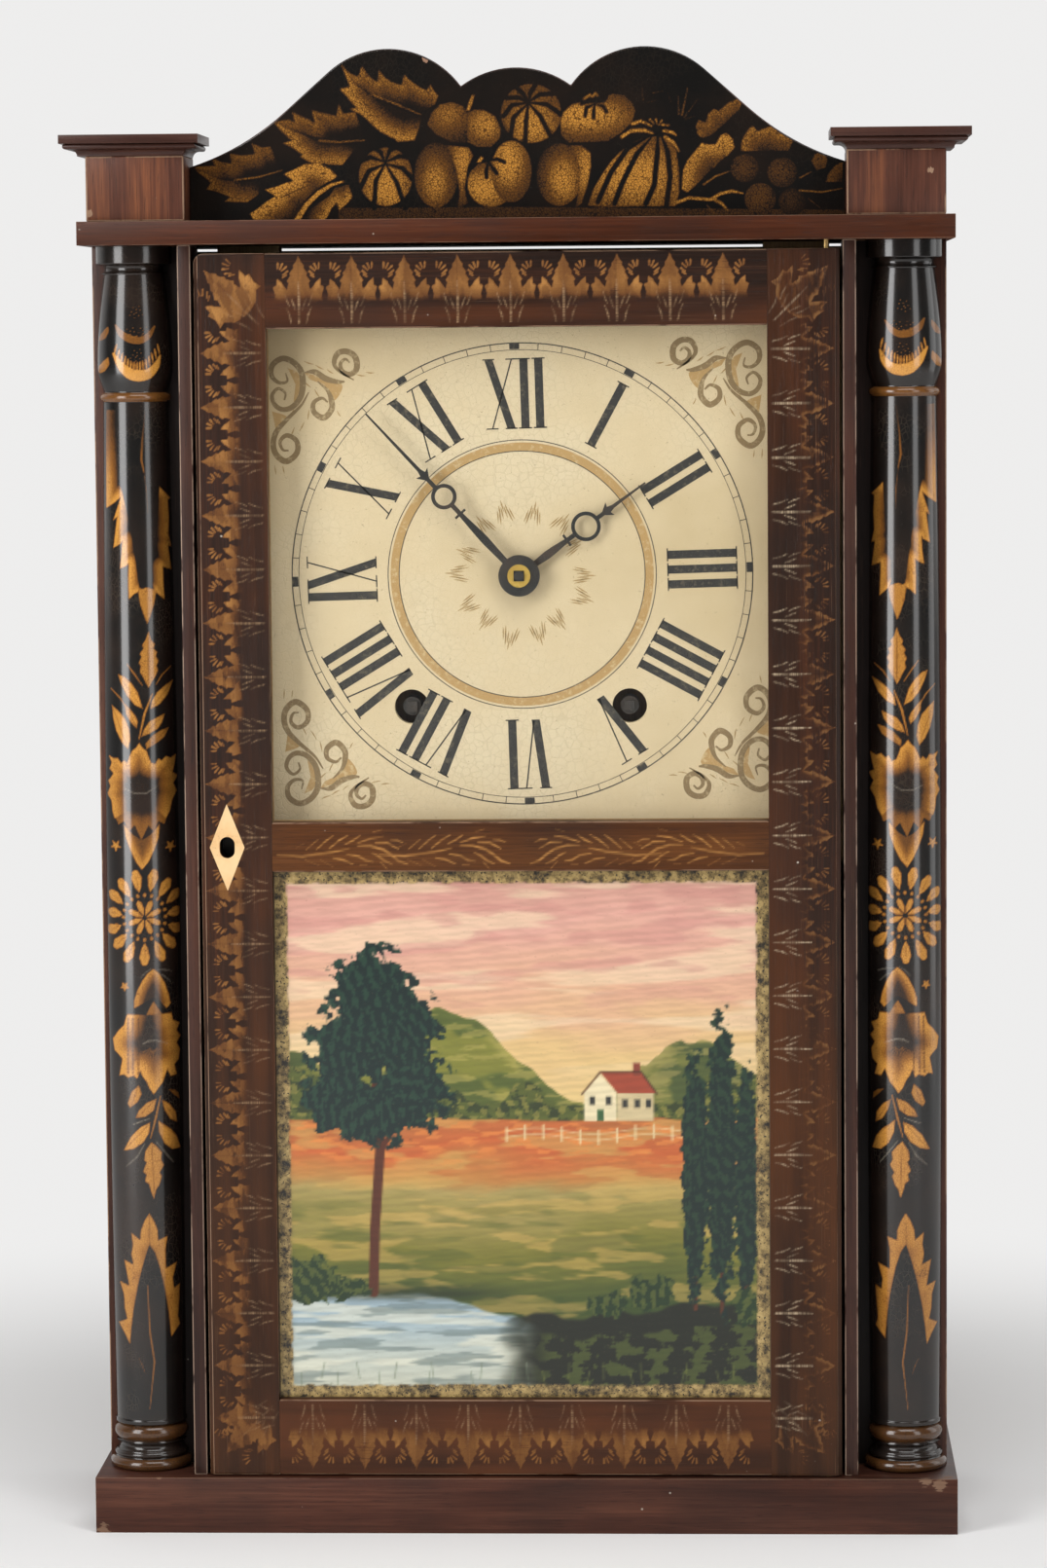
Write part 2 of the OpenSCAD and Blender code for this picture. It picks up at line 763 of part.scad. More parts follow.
// Hand pointing up: hub, leaf, bar, open ring, barbs that point forward, and a needle with a blunt end
module hand_outline(length, ring_at, ring_r, bar_at, barb_at, bore) {
    neck = 1.1;
    leaf_at = length * 0.22;
    difference() {
        union() {
            circle(r = hub_r);
            polygon([[-1.5, 0], [-1.5, hub_r], [-2, leaf_at], [-1.8, leaf_at + 5], [-neck, bar_at],
                [-neck, ring_at], [neck, ring_at], [neck, bar_at], [1.8, leaf_at + 5], [2, leaf_at],
                [1.5, hub_r], [1.5, 0]]);
            polygon([[-3.2, bar_at - 0.6], [3.2, bar_at - 0.6], [3.2, bar_at + 0.6], [-3.2, bar_at + 0.6]]);
            translate([0, ring_at]) circle(r = ring_r);
            polygon([[-neck, ring_at], [-1, barb_at - 2.4], [-3.8, barb_at + 1.6], [-1.6, barb_at + 0.9],
                [-0.9, barb_at + 3.4], [-0.4, length], [0.4, length], [0.9, barb_at + 3.4],
                [1.6, barb_at + 0.9], [3.8, barb_at + 1.6], [1, barb_at - 2.4], [neck, ring_at]]);
        }
        circle(r = bore);
        translate([0, ring_at]) circle(r = ring_r - 1.8);
    }
}

module hour_hand() {
    y1 = dial_front - 3;
    color("#262a2e") translate([0, y1, dial_z]) rotate([0, hour_angle, 0]) along_y(-1, 0)
        hand_outline(hour_len, hour_len * 0.53, 7.2, hour_len * 0.38, hour_len * 0.7, pipe_r);
    color("#262a2e") difference() {
        rod(centre_at, pipe_r + 1.2, y1 - 0.5, y1 + 0.6);
        rod(centre_at, pipe_r, y1 - 1, y1 + 1);
    }
}

// Minute hand with the brass bushing that fits the shaft, sunk square at its front
module minute_hand() {
    y1 = dial_front - 6.6;
    color("#262a2e") translate([0, y1, dial_z]) rotate([0, minute_angle, 0]) along_y(-1.2, 0)
        hand_outline(minute_len, minute_len * 0.49, 6.2, minute_len * 0.383, minute_len * 0.62, 5.6);
    color("#b08a4a") difference() {
        rod(centre_at, 5.6, y1 - 1.8, y1 + 0.4);
        rod(centre_at, shaft_r, y1 - 2.4, y1 + 1);
        board(-2.6, 2.6, y1 - 2.4, y1 - 0.9, dial_z - 2.6, dial_z + 2.6);
    }
}

// Wheels

// Outline of a spur wheel with straight-flanked teeth, thin enough to run freely
module gear_outline(teeth, m, turn) {
    root = m * (teeth / 2 - 1.25);
    tip = m * (teeth / 2 + 0.95);
    root_half = 0.78 * m / root * 180 / PI;
    tip_half = 0.3 * m / tip * 180 / PI;
    polygon([for (i = [0 : teeth - 1]) let (a = turn + 360 * i / teeth)
        for (p = [[root, -root_half], [tip, -tip_half], [tip, tip_half], [root, root_half]])
            [p[0] * cos(a + p[1]), p[0] * sin(a + p[1])]]);
}

module gear_at(p, teeth, m, turn, y) {
    translate([p[0], 0, p[1]]) along_y(y[0], y[1]) gear_outline(teeth, m, turn);
}

// Eight-sided wooden arbor between the plates
module arbor(p, y0 = arbor_y[0], y1 = arbor_y[1], r = arbor_r) {
    translate([p[0], 0, p[1]]) along_y(y0, y1) circle(r = r, $fn = 8);
}

// Steel pivots driven into the ends of an arbor
module pivots(p, front = true) {
    if (front) rod(p, pivot_r, plate_y + 1, arbor_y[0]);
    rod(p, pivot_r, arbor_y[1], rear_back - 1);
}

// Wooden wheel and the arbor that its pinion is cut in
module train_wheel(p, turn, teeth, m, y, n, pinion_m, pinion_y) {
    color("#b5854a") {
        difference() {
            gear_at(p, teeth, m, turn, y);
            arbor(p);
        }
        arbor(p);
        gear_at(p, n, pinion_m, turn, pinion_y);
    }
}

// Great wheel that runs on the drum's arbor, with the click that holds the drum's ratchet
module great_wheel(p) {
    click_r = drum_r + 5;
    color("#b5854a") difference() {
        gear_at(p, great_teeth, great_mod, 0, great_level);
        rod(p, wind_arbor_r + run_play, great_level[0] - cut, great_level[1] + cut);
    }
    color("#b08a4a") translate([p[0], 0, p[1]]) along_y(great_level[1], great_level[1] + 1.6)
        polygon([for (a = [0 : 10 : 60]) [click_r * cos(a), click_r * sin(a)],
            for (a = [60 : -10 : 0]) [(click_r - 2) * cos(a), (click_r - 2) * sin(a)]]);
}

module time_great_wheel() {
    great_wheel(time_at);
}

module strike_great_wheel() {
    great_wheel(strike_at);
}

// Winding drum with ratchet, rear flange and the arbor whose end shows in the dial
module drum(p) {
    round_r = wind_arbor_r;
    color("#a87a44") {
        difference() {
            turned(p, drum_level[0]) {
                square([drum_r, drum_level[1] - drum_level[0]]);
                translate([0, drum_level[1] - drum_level[0]]) square([drum_r + 3, 2]);
            }
            rod(p, round_r, drum_level[0] - cut, drum_level[1] + 2 + cut);
        }
        difference() {
            translate([p[0], 0, p[1]]) along_y(great_level[1] + seat, drum_level[0])
                polygon([for (i = [0 : 17]) for (q = [[drum_r + 0.6, 0], [drum_r + 2.4, 2]])
                    [q[0] * cos(20 * i + q[1]), q[0] * sin(20 * i + q[1])]]);
            rod(p, round_r, great_level[1], drum_level[0] + cut);
        }
    }
    color("#7d7a74") {
        rod(p, round_r, dial_back - 2.5, arbor_y[1]);
        board(p[0] - 2.5, p[0] + 2.5, dial_front + 1, dial_back - 2.5, p[1] - 2.5, p[1] + 2.5);
        rod(p, pivot_r + 0.4, arbor_y[1], rear_back - 1);
    }
}

module time_drum() {
    drum(time_at);
}

module strike_drum() {
    drum(strike_at);
}

module time_second_wheel() {
    train_wheel(second_at, second_turn, second_teeth, great_mod, second_level, second_leaves, great_mod,
        [great_level[0] - 1, great_level[1] + 1]);
    color("#7d7a74") pivots(second_at);
}

// Centre wheel, with the shaft that carries the cannon pinion and the minute hand
module center_wheel() {
    train_wheel(centre_at, centre_turn, centre_teeth, centre_mod, centre_level, centre_leaves, great_mod,
        [second_level[0] - 1, second_level[1] + 1]);
    color("#7d7a74") {
        pivots(centre_at, front = false);
        rod(centre_at, shaft_r, dial_front - 9.6, arbor_y[0]);
        difference() {
            gear_at(centre_at, cannon_leaves, cannon_mod, 0, cannon_level);
            rod(centre_at, shaft_r, cannon_level[0] - cut, cannon_level[1] + cut);
        }
    }
}

module third_wheel() {
    train_wheel(third_at, third_turn, third_teeth, third_mod, third_level, leaves, centre_mod,
        [centre_level[0] - 1, centre_level[1] + 1]);
    color("#7d7a74") pivots(third_at);
}

// Brass escape wheel with raked teeth
module escape_wheel() {
    color("#b08a4a") difference() {
        translate([escape_at[0], 0, escape_at[1]]) along_y(great_level[0] + 1.4, great_level[0] + 2.6)
            polygon([for (i = [0 : escape_teeth - 1]) for (q = [[escape_r - 2.6, -2], [escape_r, 2]])
                let (a = 360 * i / escape_teeth) [q[0] * cos(a + q[1]), q[0] * sin(a + q[1])]]);
        arbor(escape_at);
        for (a = [45 : 90 : 315]) rod(polar(escape_at, a, escape_r * 0.53), escape_r * 0.2,
            great_level[0], great_level[1]);
    }
    color("#b5854a") {
        arbor(escape_at);
        gear_at(escape_at, leaves, third_mod, escape_turn, [third_level[0] - 1, third_level[1] + 1]);
    }
    color("#7d7a74") pivots(escape_at);
}

// Verge: pallet strip over the escape wheel, its arbor, and the crutch behind the back plate
module verge() {
    gap_r = escape_r + 1;
    span = 32;
    pallet_y = [great_level[0] + 0.8, great_level[0] + 3.2];
    crutch_y = rear_back + 2.2;
    foot_z = verge_at[1] - 66;
    color("#b08a4a") translate([escape_at[0], 0, escape_at[1]]) along_y(pallet_y[0], pallet_y[1]) {
        polygon([for (a = [90 - span : 8 : 90 + span]) [gap_r * cos(a), gap_r * sin(a)],
            for (a = [90 + span : -8 : 90 - span]) [(gap_r + 1.6) * cos(a), (gap_r + 1.6) * sin(a)]]);
        translate([-1.6, gap_r + 1]) square([3.2, verge_at[1] - escape_at[1] - gap_r - 1]);
    }
    color("#7d7a74") {
        difference() {
            rod(verge_at, 2, arbor_y[0], arbor_y[1]);
            translate([escape_at[0], 0, escape_at[1]]) along_y(pallet_y[0], pallet_y[1])
                translate([-1.6, gap_r + 1]) square([3.2, verge_at[1] - escape_at[1] - gap_r - 1]);
        }
        rod(verge_at, pivot_r, plate_y + 1, arbor_y[0]);
        rod(verge_at, pivot_r + 0.4, arbor_y[1], crutch_y + 1.6);
        board(-1, 1, crutch_y, crutch_y + 1.6, foot_z, verge_at[1] - pivot_r - 0.2);
        both_sides() board(1.4, 2.6, crutch_y, crutch_y + 13, foot_z - 1.2, foot_z);
        board(-2.6, 2.6, crutch_y, crutch_y + 1.6, foot_z - 1.2, foot_z);
    }
}

pendulum_y = rear_back + 10;

// Stud on the back plate whose slit holds the top of the pendulum
module suspension_post() {
    color("#b08a4a") difference() {
        board(-5, 5, rear_back, pendulum_y + 5, verge_at[1] + 2, verge_at[1] + 8);
        board(-1, 1, pendulum_y - 3.4, pendulum_y + 5 + cut, verge_at[1], verge_at[1] + 9);
    }
}

// Rod with its suspension strip, brass bob and rating nut
module pendulum() {
    bob_t = 12;
    rim_t = 3;
    bob_z = verge_at[1] - pendulum_len;
    rise = (bob_t - rim_t) / 2;
    curve_r = (bob_r * bob_r + rise * rise) / (2 * rise);
    color("#b08a4a") {
        board(-0.3, 0.3, pendulum_y - 3, pendulum_y + 3, verge_at[1] - 14, verge_at[1] + 8.4);
        board(-3, 3, pendulum_y - 3, pendulum_y + 3, verge_at[1] + 8.4, verge_at[1] + 10);
        translate([0, pendulum_y, bob_z + bob_r - 5]) cylinder(r = 1, h = pendulum_len - bob_r - 9);
        translate([0, pendulum_y, bob_z - bob_r - 10]) cylinder(r = 1, h = 15);
        translate([0, pendulum_y, bob_z - bob_r - 7]) cylinder(r = 4.5, h = 5);
        turned([0, bob_z], pendulum_y) intersection() {
            translate([0, bob_t / 2 - curve_r]) circle(r = curve_r, $fn = 360);
            translate([0, curve_r - bob_t / 2]) circle(r = curve_r, $fn = 360);
            translate([0, -bob_t]) square([bob_r, 2 * bob_t]);
        }
    }
}

// Minute wheel and pinion on one stud, which turns in the front plate
module minute_wheel() {
    color("#b5854a") {
        gear_at(minute_at, minute_teeth, cannon_mod, minute_turn, cannon_level);
        gear_at(minute_at, minute_leaves, hour_mod, minute_turn, [hour_level[0] - 0.4, cannon_level[0]]);
    }
    color("#7d7a74") rod(minute_at, 1.5, cannon_level[1], plate_y + plate_t - 1);
}

module hour_wheel() {
    color("#b5854a") difference() {
        union() {
            gear_at(centre_at, hour_teeth, hour_mod, hour_turn, hour_level);
            rod(centre_at, pipe_r, dial_front - 4.4, hour_level[1]);
        }
        rod(centre_at, shaft_r + run_play, dial_front - 5.4, hour_level[1] + cut);
    }
}

// Pin wheel with eight lifting pins, and the pinion behind the back plate that drives the count wheel
module pin_wheel() {
    train_wheel(pin_at, pin_turn, pin_teeth, warning_mod, pin_level, pin_leaves, great_mod,
        [great_level[0] - 1, great_level[1] + 1]);
    color("#7d7a74") {
        rod(pin_at, pivot_r, plate_y + 1, arbor_y[0]);
        rod(pin_at, pivot_r + 0.4, arbor_y[1], count_level[0] - 0.4);
        gear_at(pin_at, leaves, count_mod, pin_turn, [count_level[0] - 0.4, count_level[1] + 0.4]);
        for (a = [0 : 45 : 315]) rod(polar(pin_at, a, 28), 0.9, pin_level[1], pin_level[1] + 1.8);
    }
}

module warning_wheel() {
    train_wheel(warning_at, warning_turn, warning_teeth, warning_mod, second_level, leaves, warning_mod,
        [pin_level[0] - 1, pin_level[1] + 1]);
    color("#7d7a74") pivots(warning_at);
}

// Fly: two thin vanes on an arbor whose pinion the warning wheel drives
module fly() {
    vane = 24;
    vane_y = [level(18), level(34)];
    color("#b5854a") {
        arbor(fly_at, r = 2.5);
        gear_at(fly_at, leaves, warning_mod, fly_turn, [second_level[0] - 1, second_level[1] + 1]);
    }
    color("#b08a4a") for (side = [-1, 1])
        board(fly_at[0] + (side > 0 ? 2.2 : -vane), fly_at[0] + (side > 0 ? vane : -2.2), vane_y[0], vane_y[1],
            fly_at[1] - 0.6, fly_at[1] + 0.6);
    color("#7d7a74") pivots(fly_at);
}

// Count wheel: toothed disc with a rim notched after 1, 2, 3 and up to 12 blows
module count_wheel() {
    rim_r = 30;
    color("#b5854a") {
        gear_at(count_at, count_teeth, count_mod, count_turn, count_level);
        difference() {
            rod(count_at, rim_r, count_level[1], count_level[1] + 2.4);
            for (n = [1 : 12]) translate([count_at[0], 0, count_at[1]])
                rotate([0, 360 / count_teeth * n * (n + 1) / 2, 0])
                    board(rim_r - 4, rim_r + cut, count_level[1] - cut, count_level[1] + 2.4 + cut, -0.9, 0.9);
        }
    }
    color("#7d7a74") rod(count_at, 1.5, rear_y + 1, count_level[0]);
}

// Hammer: arm on a stud in the back plate, with its head beside the bell
module hammer() {
    y0 = rear_back + 1;
    head = [bell_at[0] - bell_r - 7.5, bell_at[1] + 2];
    color("#5b5853") {
        rod(hammer_at, 1.5, rear_y + 1, y0);
        rod(hammer_at, 4, y0, y0 + 3);
        along_y(y0 + 0.5, y0 + 2.5) polygon([[hammer_at[0] - 1.2, hammer_at[1] - 3],
            [hammer_at[0] + 1.2, hammer_at[1] - 3], [head[0] + 1.2, head[1]], [head[0] - 1.2, head[1]]]);
        translate([head[0] - 7, y0 + 1.5, head[1] - 4]) rotate([0, 90, 0]) cylinder(r = 4.5, h = 13);
    }
}

// Bell with its mouth to the back, on an iron post from the backboard
module bell() {
    wall = 2.2;
    depth = 22;
    mouth_y = rear_back + 5;
    curve_r = (bell_r * bell_r + depth * depth) / (2 * depth);
    color("#a8894e") translate([bell_at[0], 0, bell_at[1]]) difference() {
        intersection() {
            translate([0, mouth_y - depth + curve_r, 0]) rotate([90, 0, 0]) sphere(r = curve_r, $fn = 64);
            rotate([90, 0, 0]) cylinder(r = bell_r + 1, h = 3 * rear_back, center = true);
            board(-60, 60, mouth_y - depth - 1, mouth_y, -60, 60);
        }
        translate([0, mouth_y - depth + curve_r, 0]) rotate([90, 0, 0]) sphere(r = curve_r - wall, $fn = 64);
    }
    color("#5b5853") {
        rod(bell_at, 2, mouth_y - depth + wall, back_y - back_t);
        rod(bell_at, 4.5, mouth_y - depth - 3, mouth_y - depth);
    }
}

// Plates, pillars and the holes that the train runs in

train_arbors = [second_at, third_at, escape_at, pin_at, warning_at, fly_at];

module pillar_places() {
    both_sides() for (p = [pillar_low, pillar_high]) translate([p[0], 0, p[1]]) children();
}

module plate_front() {
    y = [plate_y - cut, train_y + cut];
    color("#9a7040") difference() {
        board(-plate_w / 2, plate_w / 2, plate_y, train_y, plate_z0, plate_z1);
        for (p = concat(train_arbors, [verge_at])) rod(p, pivot_r + run_play, y[0], y[1]);
        for (p = [time_at, strike_at]) rod(p, wind_arbor_r + run_play, y[0], y[1]);
        rod(centre_at, shaft_r + run_play, y[0], y[1]);
        rod(minute_at, 1.5 + run_play, y[0], y[1]);
        pillar_places() rod([0, 0], 3.05, y[0], y[1]);
    }
}

module plate_back() {
    y = [rear_y - cut, rear_back + cut];
    color("#9a7040") difference() {
        board(-plate_w / 2, plate_w / 2, rear_y, rear_back, plate_z0, plate_z1);
        for (p = [second_at, third_at, escape_at, warning_at, fly_at, centre_at])
            rod(p, pivot_r + run_play, y[0], y[1]);
        for (p = [time_at, strike_at, pin_at, verge_at]) rod(p, pivot_r + 0.4 + run_play, y[0], y[1]);
        for (p = [count_at, hammer_at]) rod(p, 1.5 + run_play, y[0], y[1]);
        pillar_places() rod([0, 0], 3.05, y[0], y[1]);
    }
}

module plate_pillars() {
    color("#a87a44") pillar_places() turned([0, 0], plate_y) {
        square([3, plate_gap + 2 * plate_t]);
        translate([0, plate_t]) square([5, plate_gap]);
        for (y = [plate_t + 1, plate_t + plate_gap - 5]) translate([0, y]) square([5.4, 4]);
    }
}

// Weights, pulleys and cords

module weight() {
    corner = 8;
    z1 = weight_z0 + weight_h;
    color("#33312f") translate([weight_x, cord_y, 0]) {
        board(-weight_w / 2, weight_w / 2, -weight_d / 2 + corner, weight_d / 2 - corner, weight_z0, z1);
        board(-weight_w / 2 + corner, weight_w / 2 - corner, -weight_d / 2, weight_d / 2, weight_z0, z1);
        for (x = [-1, 1]) for (y = [-1, 1])
            translate([x * (weight_w / 2 - corner), y * (weight_d / 2 - corner), weight_z0])
                cylinder(r = corner, h = weight_h);
        translate([0, 0, eye_top - eye_r]) rotate([90, 0, 0]) rotate_extrude()
            translate([eye_r - 1.5, 0]) circle(r = 1.5, $fn = 24);
        translate([0, 0, z1]) cylinder(r = 2, h = eye_top - 2 * eye_r - z1 + 1.5);
    }
}

module time_weight() {
    weight();
}

module strike_weight() {
    mirror([1, 0, 0]) weight();
}

// Grooved wheel on an axle that turns in the two cheeks
module pulley() {
    half = 3.5;
    rim = groove_r + 3;
    color("#8a6a42") translate([pulley_at[0], cord_y, pulley_at[1]]) rotate([-90, 0, 0]) rotate_extrude() {
        polygon([[0, -half], [rim, -half], [rim, -2.7], [groove_r, -1.1], [groove_r, 1.1], [rim, 2.7],
            [rim, half], [0, half]]);
        translate([0, -9.5]) square([1.6, 19]);
    }
}

module time_pulley() {
    pulley();
}

module strike_pulley() {
    mirror([1, 0, 0]) pulley();
}

// Cord from the drum's inner side up to the pulley and over it
module cord_runs() {
    start = polar(time_at, leave, unwind_r);
    end = polar(pulley_at, leave, wrap_r);
    color("#a9a08a") both_sides() {
        translate([start[0], cord_y, start[1]]) rotate([0, 90 - way(start, end), 0])
            cylinder(r = cord_r, h = gap(start, end), $fn = 8);
        translate([pulley_at[0], cord_y, pulley_at[1]]) rotate([90, 0, 0])
            rotate_extrude(angle = leave) translate([wrap_r, 0]) circle(r = cord_r, $fn = 8);
    }
}

module cord_drop() {
    color("#a9a08a") translate([weight_x, cord_y, eye_top]) cylinder(r = cord_r, h = pulley_at[1] - eye_top,
        $fn = 24);
}

module time_cord_drop() {
    cord_drop();
}

module strike_cord_drop() {
    mirror([1, 0, 0]) cord_drop();
}

base_board();
case_side_left();
case_side_right();
column_boards();
door_jambs();
top_board();
backboard();
case_blocks();
half_column_left();
half_column_right();
corner_block_left();
corner_block_right();
corner_cap_left();
corner_cap_right();
splat();
hinge_pins();
door_stile_left();
door_stile_right();
door_rail_top();
door_rail_middle();
door_rail_bottom();
dial_glass();
tablet_glass();
glazing_strips();
escutcheon();
door_lock();
lock_bolt();
dial_board();
dial_rails();
hour_hand();
minute_hand();
plate_front();
plate_back();
plate_pillars();
time_great_wheel();
time_drum();
time_second_wheel();
center_wheel();
third_wheel();
escape_wheel();
verge();
suspension_post();
pendulum();
minute_wheel();
hour_wheel();
strike_great_wheel();
strike_drum();
pin_wheel();
warning_wheel();
fly();
count_wheel();
hammer();
bell();
time_weight();
strike_weight();
time_pulley();
strike_pulley();
cord_runs();
time_cord_drop();
strike_cord_drop();
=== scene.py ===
import json
import math
import bpy
import bmesh
import numpy as np
from mathutils import Matrix, Vector


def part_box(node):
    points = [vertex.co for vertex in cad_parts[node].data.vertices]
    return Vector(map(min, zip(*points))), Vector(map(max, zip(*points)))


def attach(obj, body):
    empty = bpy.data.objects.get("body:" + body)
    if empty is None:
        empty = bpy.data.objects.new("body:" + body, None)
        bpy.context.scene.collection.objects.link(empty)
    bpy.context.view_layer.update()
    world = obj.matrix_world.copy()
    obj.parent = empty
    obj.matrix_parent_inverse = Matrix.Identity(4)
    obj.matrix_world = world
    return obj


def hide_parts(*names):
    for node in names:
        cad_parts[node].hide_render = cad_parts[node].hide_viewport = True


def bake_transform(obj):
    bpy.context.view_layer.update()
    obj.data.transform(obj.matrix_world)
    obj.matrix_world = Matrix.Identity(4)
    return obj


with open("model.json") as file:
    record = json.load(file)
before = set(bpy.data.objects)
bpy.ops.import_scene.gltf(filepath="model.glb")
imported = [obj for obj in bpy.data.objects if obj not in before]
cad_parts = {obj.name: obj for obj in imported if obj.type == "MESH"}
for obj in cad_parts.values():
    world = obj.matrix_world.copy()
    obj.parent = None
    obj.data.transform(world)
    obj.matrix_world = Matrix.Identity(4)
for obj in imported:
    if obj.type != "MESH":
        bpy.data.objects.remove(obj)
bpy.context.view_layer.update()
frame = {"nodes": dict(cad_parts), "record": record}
mm = 0.001
print("stage: frame loaded")

# Camera

cameraSettings = {
    "spot": (0.1051, -2.4035, 0.5865),
    "yaw": -2.52,  # degrees, turned about the upright
    "pitch": 5.30,  # looking down
    "roll": -0.478,
    "lens": 111.7,
}


# The camera's axes are a turn about Z, then a tilt, then a roll about the line of sight
def makeCamera(s):
    yaw, pitch, roll = (math.radians(s[k]) for k in ("yaw", "pitch", "roll"))
    turn = Matrix.Rotation(yaw, 3, "Z")
    face = Matrix(((1, 0, 0), (0, 0, -1), (0, 1, 0)))
    rows = Matrix.Rotation(roll, 3, "Z") @ Matrix.Rotation(pitch, 3, "X") @ face @ turn
    axes = Matrix((rows[0], -rows[1], -rows[2])).transposed()
    data = bpy.data.cameras.new("camera")
    data.lens = s["lens"]
    data.sensor_width = 36
    data.clip_end = 50
    camera = bpy.data.objects.new("camera", data)
    camera.matrix_world = Matrix.Translation(s["spot"]) @ axes.to_4x4()
    bpy.context.scene.collection.objects.link(camera)
    bpy.context.scene.camera = camera
    bpy.context.scene.view_settings.view_transform = "Standard"


makeCamera(cameraSettings)

# Lamps, world and floor

lightSettings = {
    "paper": (0.855, 0.85, 0.845),
    "ambient": 0.5,
    "lamps": [
        # name, place, aimed at, width, height, watts
        ("leftBox", (-1.45, -1.45, 0.7), (0, 0, 0.4), 0.85, 1.9, 42),
        ("rightBox", (1.35, -1.6, 0.7), (0, 0, 0.4), 0.6, 1.9, 13),
        ("sideBox", (1.95, 0.2, 0.7), (0, 0, 0.4), 0.8, 1.9, 8),
        ("topBox", (0.3, -1.3, 2.3), (0, 0, 0.4), 1.8, 1.2, 30),
    ],
}


# Returns a function that adds a node, fills its inputs with numbers or sockets, and gives it back
def nodeMaker(tree):
    def make(kind, inputs=None, **settings):
        node = tree.nodes.new(kind)
        for key, value in settings.items():
            setattr(node, key, value)
        for key, value in (inputs or {}).items():
            if isinstance(value, bpy.types.NodeSocket):
                tree.links.new(value, node.inputs[key])
            else:
                node.inputs[key].default_value = value
        return node
    return make


# Starts an empty material: gives it back with the function that adds its nodes
def newMaterial(name):
    material = bpy.data.materials.new(name)
    material.use_nodes = True
    material.node_tree.nodes.clear()
    return material, nodeMaker(material.node_tree)


# Coordinates of the object itself, so that its pattern rides with it
def objectPlace(make):
    return make("ShaderNodeTexCoord").outputs["Object"]


def makeWorld(s):
    world = bpy.data.worlds.new("studio")
    world.use_nodes = True
    tree = world.node_tree
    tree.nodes.clear()
    make = nodeMaker(tree)
    path = make("ShaderNodeLightPath")
    way = make("ShaderNodeTexCoord").outputs["Generated"]
    part = make("ShaderNodeSeparateXYZ", {0: way})
    rear = make("ShaderNodeMapRange", {0: part.outputs["Y"], 1: -0.1, 2: 0.5},
        interpolation_type="SMOOTHSTEP").outputs[0]
    mirrored = make("ShaderNodeMath", {0: path.outputs["Is Glossy Ray"], 1: rear},
        operation="MULTIPLY").outputs[0]
    straight = make("ShaderNodeMath", {0: path.outputs["Is Camera Ray"],
        1: path.outputs["Is Transmission Ray"]}, operation="MAXIMUM").outputs[0]
    seen = make("ShaderNodeMath", {0: straight, 1: mirrored}, operation="MAXIMUM").outputs[0]
    behind = make("ShaderNodeMapRange", {0: rear, 1: 0.0, 2: 1.0, 3: 0.25, 4: 1.0}).outputs[0]
    soft = make("ShaderNodeMath", {0: behind, 1: s["ambient"]}, operation="MULTIPLY").outputs[0]
    level = make("ShaderNodeMix", {"Factor": seen, "A": soft, "B": 1.0}, data_type="FLOAT")
    back = make("ShaderNodeBackground", {"Color": (*s["paper"], 1), "Strength": level.outputs[0]})
    make("ShaderNodeOutputWorld", {"Surface": back.outputs[0]})
    bpy.context.scene.world = world


def makeLamps(s):
    for name, place, aim, width, height, watts in s["lamps"]:
        data = bpy.data.lights.new(name, "AREA")
        data.shape = "RECTANGLE"
        data.size, data.size_y = width, height
        data.energy = watts
        lamp = bpy.data.objects.new(name, data)
        lamp.location = place
        lamp.rotation_euler = (Vector(aim) - Vector(place)).to_track_quat("-Z", "Y").to_euler()
        bpy.context.scene.collection.objects.link(lamp)


# Floor: near the clock it takes its shadow, and further out it fades into the paper's own colour
def makeFloor(s):
    mesh = bpy.data.meshes.new("floor")
    mesh.from_pydata([(-9, -9, 0), (9, -9, 0), (9, 9, 0), (-9, 9, 0)], [], [(0, 1, 2, 3)])
    floor = bpy.data.objects.new("floor", mesh)
    bpy.context.scene.collection.objects.link(floor)
    material, make = newMaterial("floorPaper")
    place = objectPlace(make)
    away = make("ShaderNodeVectorMath", {0: place}, operation="LENGTH")
    fade = make("ShaderNodeMapRange", {0: away.outputs["Value"], 1: 0.25, 2: 0.8, 3: 0.0, 4: 1.0},
                interpolation_type="SMOOTHSTEP")
    path = make("ShaderNodeLightPath")
    both = make("ShaderNodeMath", {0: fade.outputs[0], 1: path.outputs["Is Camera Ray"]},
        operation="MULTIPLY")
    cloth = make("ShaderNodeBsdfDiffuse", {"Color": (0.90, 0.895, 0.89, 1)})
    glow = make("ShaderNodeEmission", {"Color": (*s["paper"], 1), "Strength": 1.0})
    mix = make("ShaderNodeMixShader", {0: both.outputs[0], 1: cloth.outputs[0], 2: glow.outputs[0]})
    make("ShaderNodeOutputMaterial", {"Surface": mix.outputs[0]})
    mesh.materials.append(material)


makeWorld(lightSettings)
makeLamps(lightSettings)
makeFloor(lightSettings)
print("stage: camera and lights ready")

# Shader helpers: sockets in, sockets out


def noise(make, place, scale, detail=3.0, rough=0.55, bend=0.0):
    return make("ShaderNodeTexNoise", {"Vector": place, "Scale": scale, "Detail": detail, "Roughness": rough,
                                       "Distortion": bend}).outputs[0]


def ranged(make, value, a, b, c=0.0, d=1.0, smooth=True):
    kind = "SMOOTHSTEP" if smooth else "LINEAR"
    return make("ShaderNodeMapRange", {0: value, 1: a, 2: b, 3: c, 4: d}, interpolation_type=kind).outputs[0]


def mixed(make, share, a, b):
    a = (*a, 1) if isinstance(a, tuple) and len(a) == 3 else a
    b = (*b, 1) if isinstance(b, tuple) and len(b) == 3 else b
    return make("ShaderNodeMix", {"Factor": share, 6: a, 7: b}, data_type="RGBA").outputs[2]


